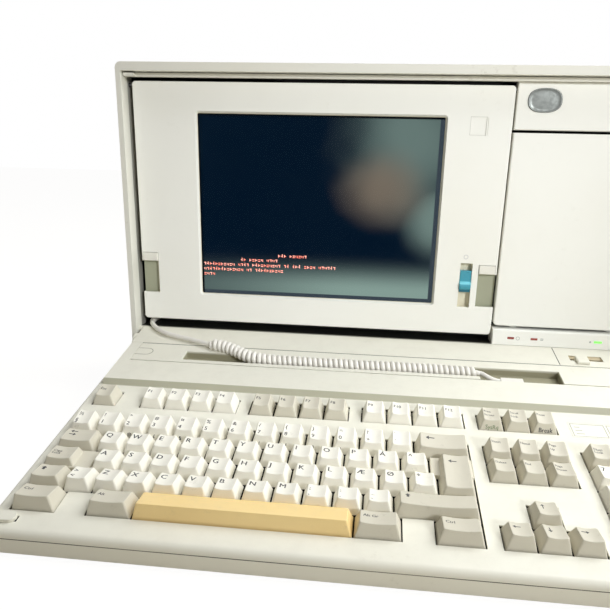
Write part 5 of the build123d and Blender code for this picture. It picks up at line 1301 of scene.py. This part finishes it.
class LUGGABLE_OT_cord(bpy.types.Operator):
    """Keyboard cord with its curly part, plug and strain reliefs"""

    bl_idname = "object.luggable_cord"
    bl_label = "Keyboard cord"

    def execute(self, context):
        looks = context.scene.luggable_cord
        sheath = plastic("Cord sheath", looks.sheath, yellowing=0.12, marks=0.25, grain=500.0, depth=0.00001,
                         rough=0.42, dust=0.2)
        path = self.curled(self.centreline(), looks)
        piece = self.tube("keyboard_cord", path, [looks.diameter / 2] * len(path), 12, sheath)
        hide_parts("cord_lead", "cord_coil", "cord_tail")
        plug = softened("cord_plug", "cord_connector", sheath, 0.9 * MM, "cord_sheath", 3)
        grommet = softened("cord_grommet", "cord_bushing", sheath, 0.4 * MM, "cord_sheath")
        relief = self.relief(path, looks, sheath)
        measured = sum((b - a).length for a, b in zip(path, path[1:]))
        deck_point(*BLEND_END)
        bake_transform(piece)
        return {"FINISHED"}

    def centreline(self):
        """Points read from one NURBS spline through the route."""
        route = [CORD_EXIT + Vector((0, 0.004, 0)), CORD_EXIT]
        route += [deck_point(*p) for p in LEAD_ROUTE + COIL_ROUTE + TAIL_ROUTE]
        curve = bpy.data.curves.new("cord_route", "CURVE")
        curve.dimensions = "3D"
        curve.resolution_u = 16
        spline = curve.splines.new("NURBS")
        spline.points.add(len(route) - 1)
        for point, place in zip(spline.points, route):
            point.co = (*place, 1.0)
        spline.order_u = 3
        spline.use_endpoint_u = True
        return curve_mesh("cord_route", curve)[0]

    def even(self, points, step):
        """The same line with points a fixed step apart."""
        marks = [0.0]
        for a, b in zip(points, points[1:]):
            marks.append(marks[-1] + (b - a).length)
        count = max(2, int(marks[-1] / step))
        line, at = [], 0
        for index in range(count + 1):
            want = marks[-1] * index / count
            while at < len(marks) - 2 and marks[at + 1] < want:
                at += 1
            span = marks[at + 1] - marks[at]
            share = (want - marks[at]) / span if span else 0.0
            line.append(points[at].lerp(points[at + 1], share))
        return line

    def frames(self, points):
        """Each point with two side directions, carried along without twist."""
        side = None
        for index, point in enumerate(points):
            before, after = points[max(0, index - 1)], points[min(len(points) - 1, index + 1)]
            ahead = (after - before).normalized()
            if side is None:
                side = ahead.orthogonal().normalized()
            side = (side - ahead * side.dot(ahead)).normalized()
            yield point, side, ahead.cross(side)

    def curled(self, centre, looks):
        """The line with its curly middle wound round it."""
        radius = looks.coil_radius - looks.diameter / 2
        points_per_turn = 18
        line = self.even(centre, looks.turn / points_per_turn)
        first, last = [min(range(len(line)), key=lambda i: (line[i] - deck_point(*end)).length)
                       for end in (COIL_ROUTE[0], COIL_ROUTE[-1])]
        step = (line[1] - line[0]).length
        ease = 7.0 * MM / step
        path = []
        for index, (point, side, up) in enumerate(self.frames(line)):
            grow = max(0.0, min(1.0, min(index - first, last - index) / ease))
            grow = grow * grow * (3 - 2 * grow)
            angle = 2 * math.pi * (index - first) * step / looks.turn
            wobble = 1.0 + 0.04 * math.sin(index * 0.013) + 0.03 * math.sin(index * 0.041 + 1.0)
            reach = radius * grow * wobble
            path.append(point + side * (reach * math.cos(angle)) + up * (reach * math.sin(angle)))
        # the straight parts need fewer points
        return [p for i, p in enumerate(path) if first - 2 <= i <= last + 2 or i % 6 == 0]

    def tube(self, name, path, radii, sides, material):
        """A closed tube along a path, with a radius for each of its points."""
        points = []
        for (point, side, up), radius in zip(self.frames(path), radii):
            for turn in range(sides):
                a, b = around((0.0, 0.0), radius, 360 * turn / sides)
                points.append(point + side * a + up * b)
        return outward(mesh_object(name, points, ring_skin(len(path), sides), material))

    def relief(self, path, looks, sheath):
        """A ribbed taper where the cord leaves the wall."""
        line = self.even([p for p in path if (p - path[0]).length < 0.022], 0.0006)
        radii = []
        for index in range(len(line)):
            share = index / (len(line) - 1)
            rib = 0.35 * MM if int(share * 14) % 2 == 0 else 0.0
            radii.append(looks.diameter / 2 + (1.3 * (1 - share) + 0.15) * MM + rib * (1 - share * 0.5))
        return added(self.tube("cord_relief", line, radii, 16, sheath), "case", "cord_sheath")


# ------------------------------------------------------------------ stage
class LUGGABLE_OT_stage(bpy.types.Operator):
    """Floor, light and camera"""

    bl_idname = "object.luggable_stage"
    bl_label = "Stage"

    def execute(self, context):
        looks = context.scene.luggable_stage
        self.floor(looks)
        self.world(looks)
        self.light("soft_box", "AREA", (0.8, 0.14, 1.25), (0.0, 0.05, 0.0), shape="SQUARE", color=(0.97, 0.99, 1.0),
                   size=1.1, energy=looks.lamp)
        self.light("display_spot", "SPOT", (0.95, -1.3, 0.75), (0.0, 0.08, 0.225), color=(0.96, 0.98, 1.0),
                   shadow_soft_size=0.2, energy=looks.fill, spot_size=math.radians(27.0), spot_blend=0.9)
        self.camera(looks)
        context.scene.view_settings.view_transform = "Standard"
        return {"FINISHED"}

    def white_where_seen(self, tree, share, real, white, target):
        """Shows a plain white to the camera, mirrors and glass, and the real surface to the light."""
        path = put(tree, "ShaderNodeLightPath").outputs
        seen = maths(tree, "MAXIMUM", path["Is Camera Ray"],
                     maths(tree, "MAXIMUM", path["Is Glossy Ray"], path["Is Transmission Ray"]))
        mix = put(tree, "ShaderNodeMixShader", {"Fac": maths(tree, "MULTIPLY", seen, share), 1: real, 2: white})
        feed(tree, target, {"Surface": mix.outputs["Shader"]})

    def floor(self, looks):
        """White ground that sends a little warm light back."""
        material, tree, shader, _ = new_material("Floor paper")
        feed(tree, shader, {"Base Color": (looks.bounce, looks.bounce * 0.92, looks.bounce * 0.76), "Roughness": 0.9,
                            "Specular IOR Level": 0.1})
        glow = put(tree, "ShaderNodeEmission", {"Strength": 1.19})
        self.white_where_seen(tree, 0.8, shader.outputs["BSDF"], glow.outputs["Emission"],
                              tree.nodes["Material Output"])
        points = [(x, y, 0) for x, y in bar(-6, -6, 6, 6)]
        mesh_object("floor", points, [[0, 1, 2, 3]], material, smooth=False)

    def world(self, looks):
        """Even warm light, with white behind the object."""
        world = bpy.data.worlds.new("Studio")
        bpy.context.scene.world = world
        world.use_nodes = True
        tree = world.node_tree
        even = tree.nodes["Background"]
        feed(tree, even, {"Color": (1.0, 0.95, 0.84), "Strength": looks.sky})
        white = put(tree, "ShaderNodeBackground", {"Color": (1.0, 1.0, 1.0), "Strength": 1.0})
        self.white_where_seen(tree, 1.0, even.outputs["Background"], white.outputs["Background"],
                              tree.nodes["World Output"])

    def light(self, name, kind, place, aim, **settings):
        """A light at a place, aimed at a point."""
        data = bpy.data.lights.new(name, kind)
        for setting, value in settings.items():
            setattr(data, setting, value)
        lamp = in_scene(name, data)
        lamp.location = place
        lamp.rotation_euler = (Vector(aim) - Vector(place)).to_track_quat("-Z", "Y").to_euler()

    def camera(self, looks):
        """The picture's camera, with the place, turn and shift that were fitted to it."""
        data = bpy.data.cameras.new("camera")
        data.lens = looks.lens
        data.sensor_width = 36.0
        data.shift_x = -0.01883
        data.shift_y = 0.03902
        data.clip_start = 0.01
        camera = in_scene("camera", data)
        camera.location = (-0.00322, -0.46096, 0.23522)
        camera.rotation_euler = Euler([math.radians(a) for a in (73.7175, -1.28296, 6.05001)])
        bpy.context.scene.camera = camera


STEPS = (
    LUGGABLE_OT_stage, LUGGABLE_OT_case, LUGGABLE_OT_handle, LUGGABLE_OT_display, LUGGABLE_OT_column,
    LUGGABLE_OT_rear, LUGGABLE_OT_inside, LUGGABLE_OT_keyboard, LUGGABLE_OT_keys, LUGGABLE_OT_legends,
    LUGGABLE_OT_cord,
)


class LUGGABLE_PT_panel(bpy.types.Panel):
    """The steps and their settings in the sidebar"""

    bl_idname = "LUGGABLE_PT_panel"
    bl_label = "Luggable computer"
    bl_space_type = "VIEW_3D"
    bl_region_type = "UI"
    bl_category = "Luggable"

    def draw(self, context):
        for step in STEPS:
            self.layout.operator(step.bl_idname, text=step.bl_label)
        for name, group in LOOKS:
            box = self.layout.box()
            box.label(text=group.__doc__)
            for setting in group.__annotations__:
                box.prop(getattr(context.scene, name), setting)


def register():
    for name, group in LOOKS:
        bpy.utils.register_class(group)
        setattr(bpy.types.Scene, name, PointerProperty(type=group))
    for step in STEPS:
        bpy.utils.register_class(step)
    bpy.utils.register_class(LUGGABLE_PT_panel)


def unregister():
    bpy.utils.unregister_class(LUGGABLE_PT_panel)
    for step in reversed(STEPS):
        bpy.utils.unregister_class(step)
    for name, group in reversed(LOOKS):
        delattr(bpy.types.Scene, name)
        bpy.utils.unregister_class(group)


def main():
    register()
    for step in STEPS:
        category, name = step.bl_idname.split(".")
        getattr(getattr(bpy.ops, category), name)()


if __name__ == "__main__":
    main()
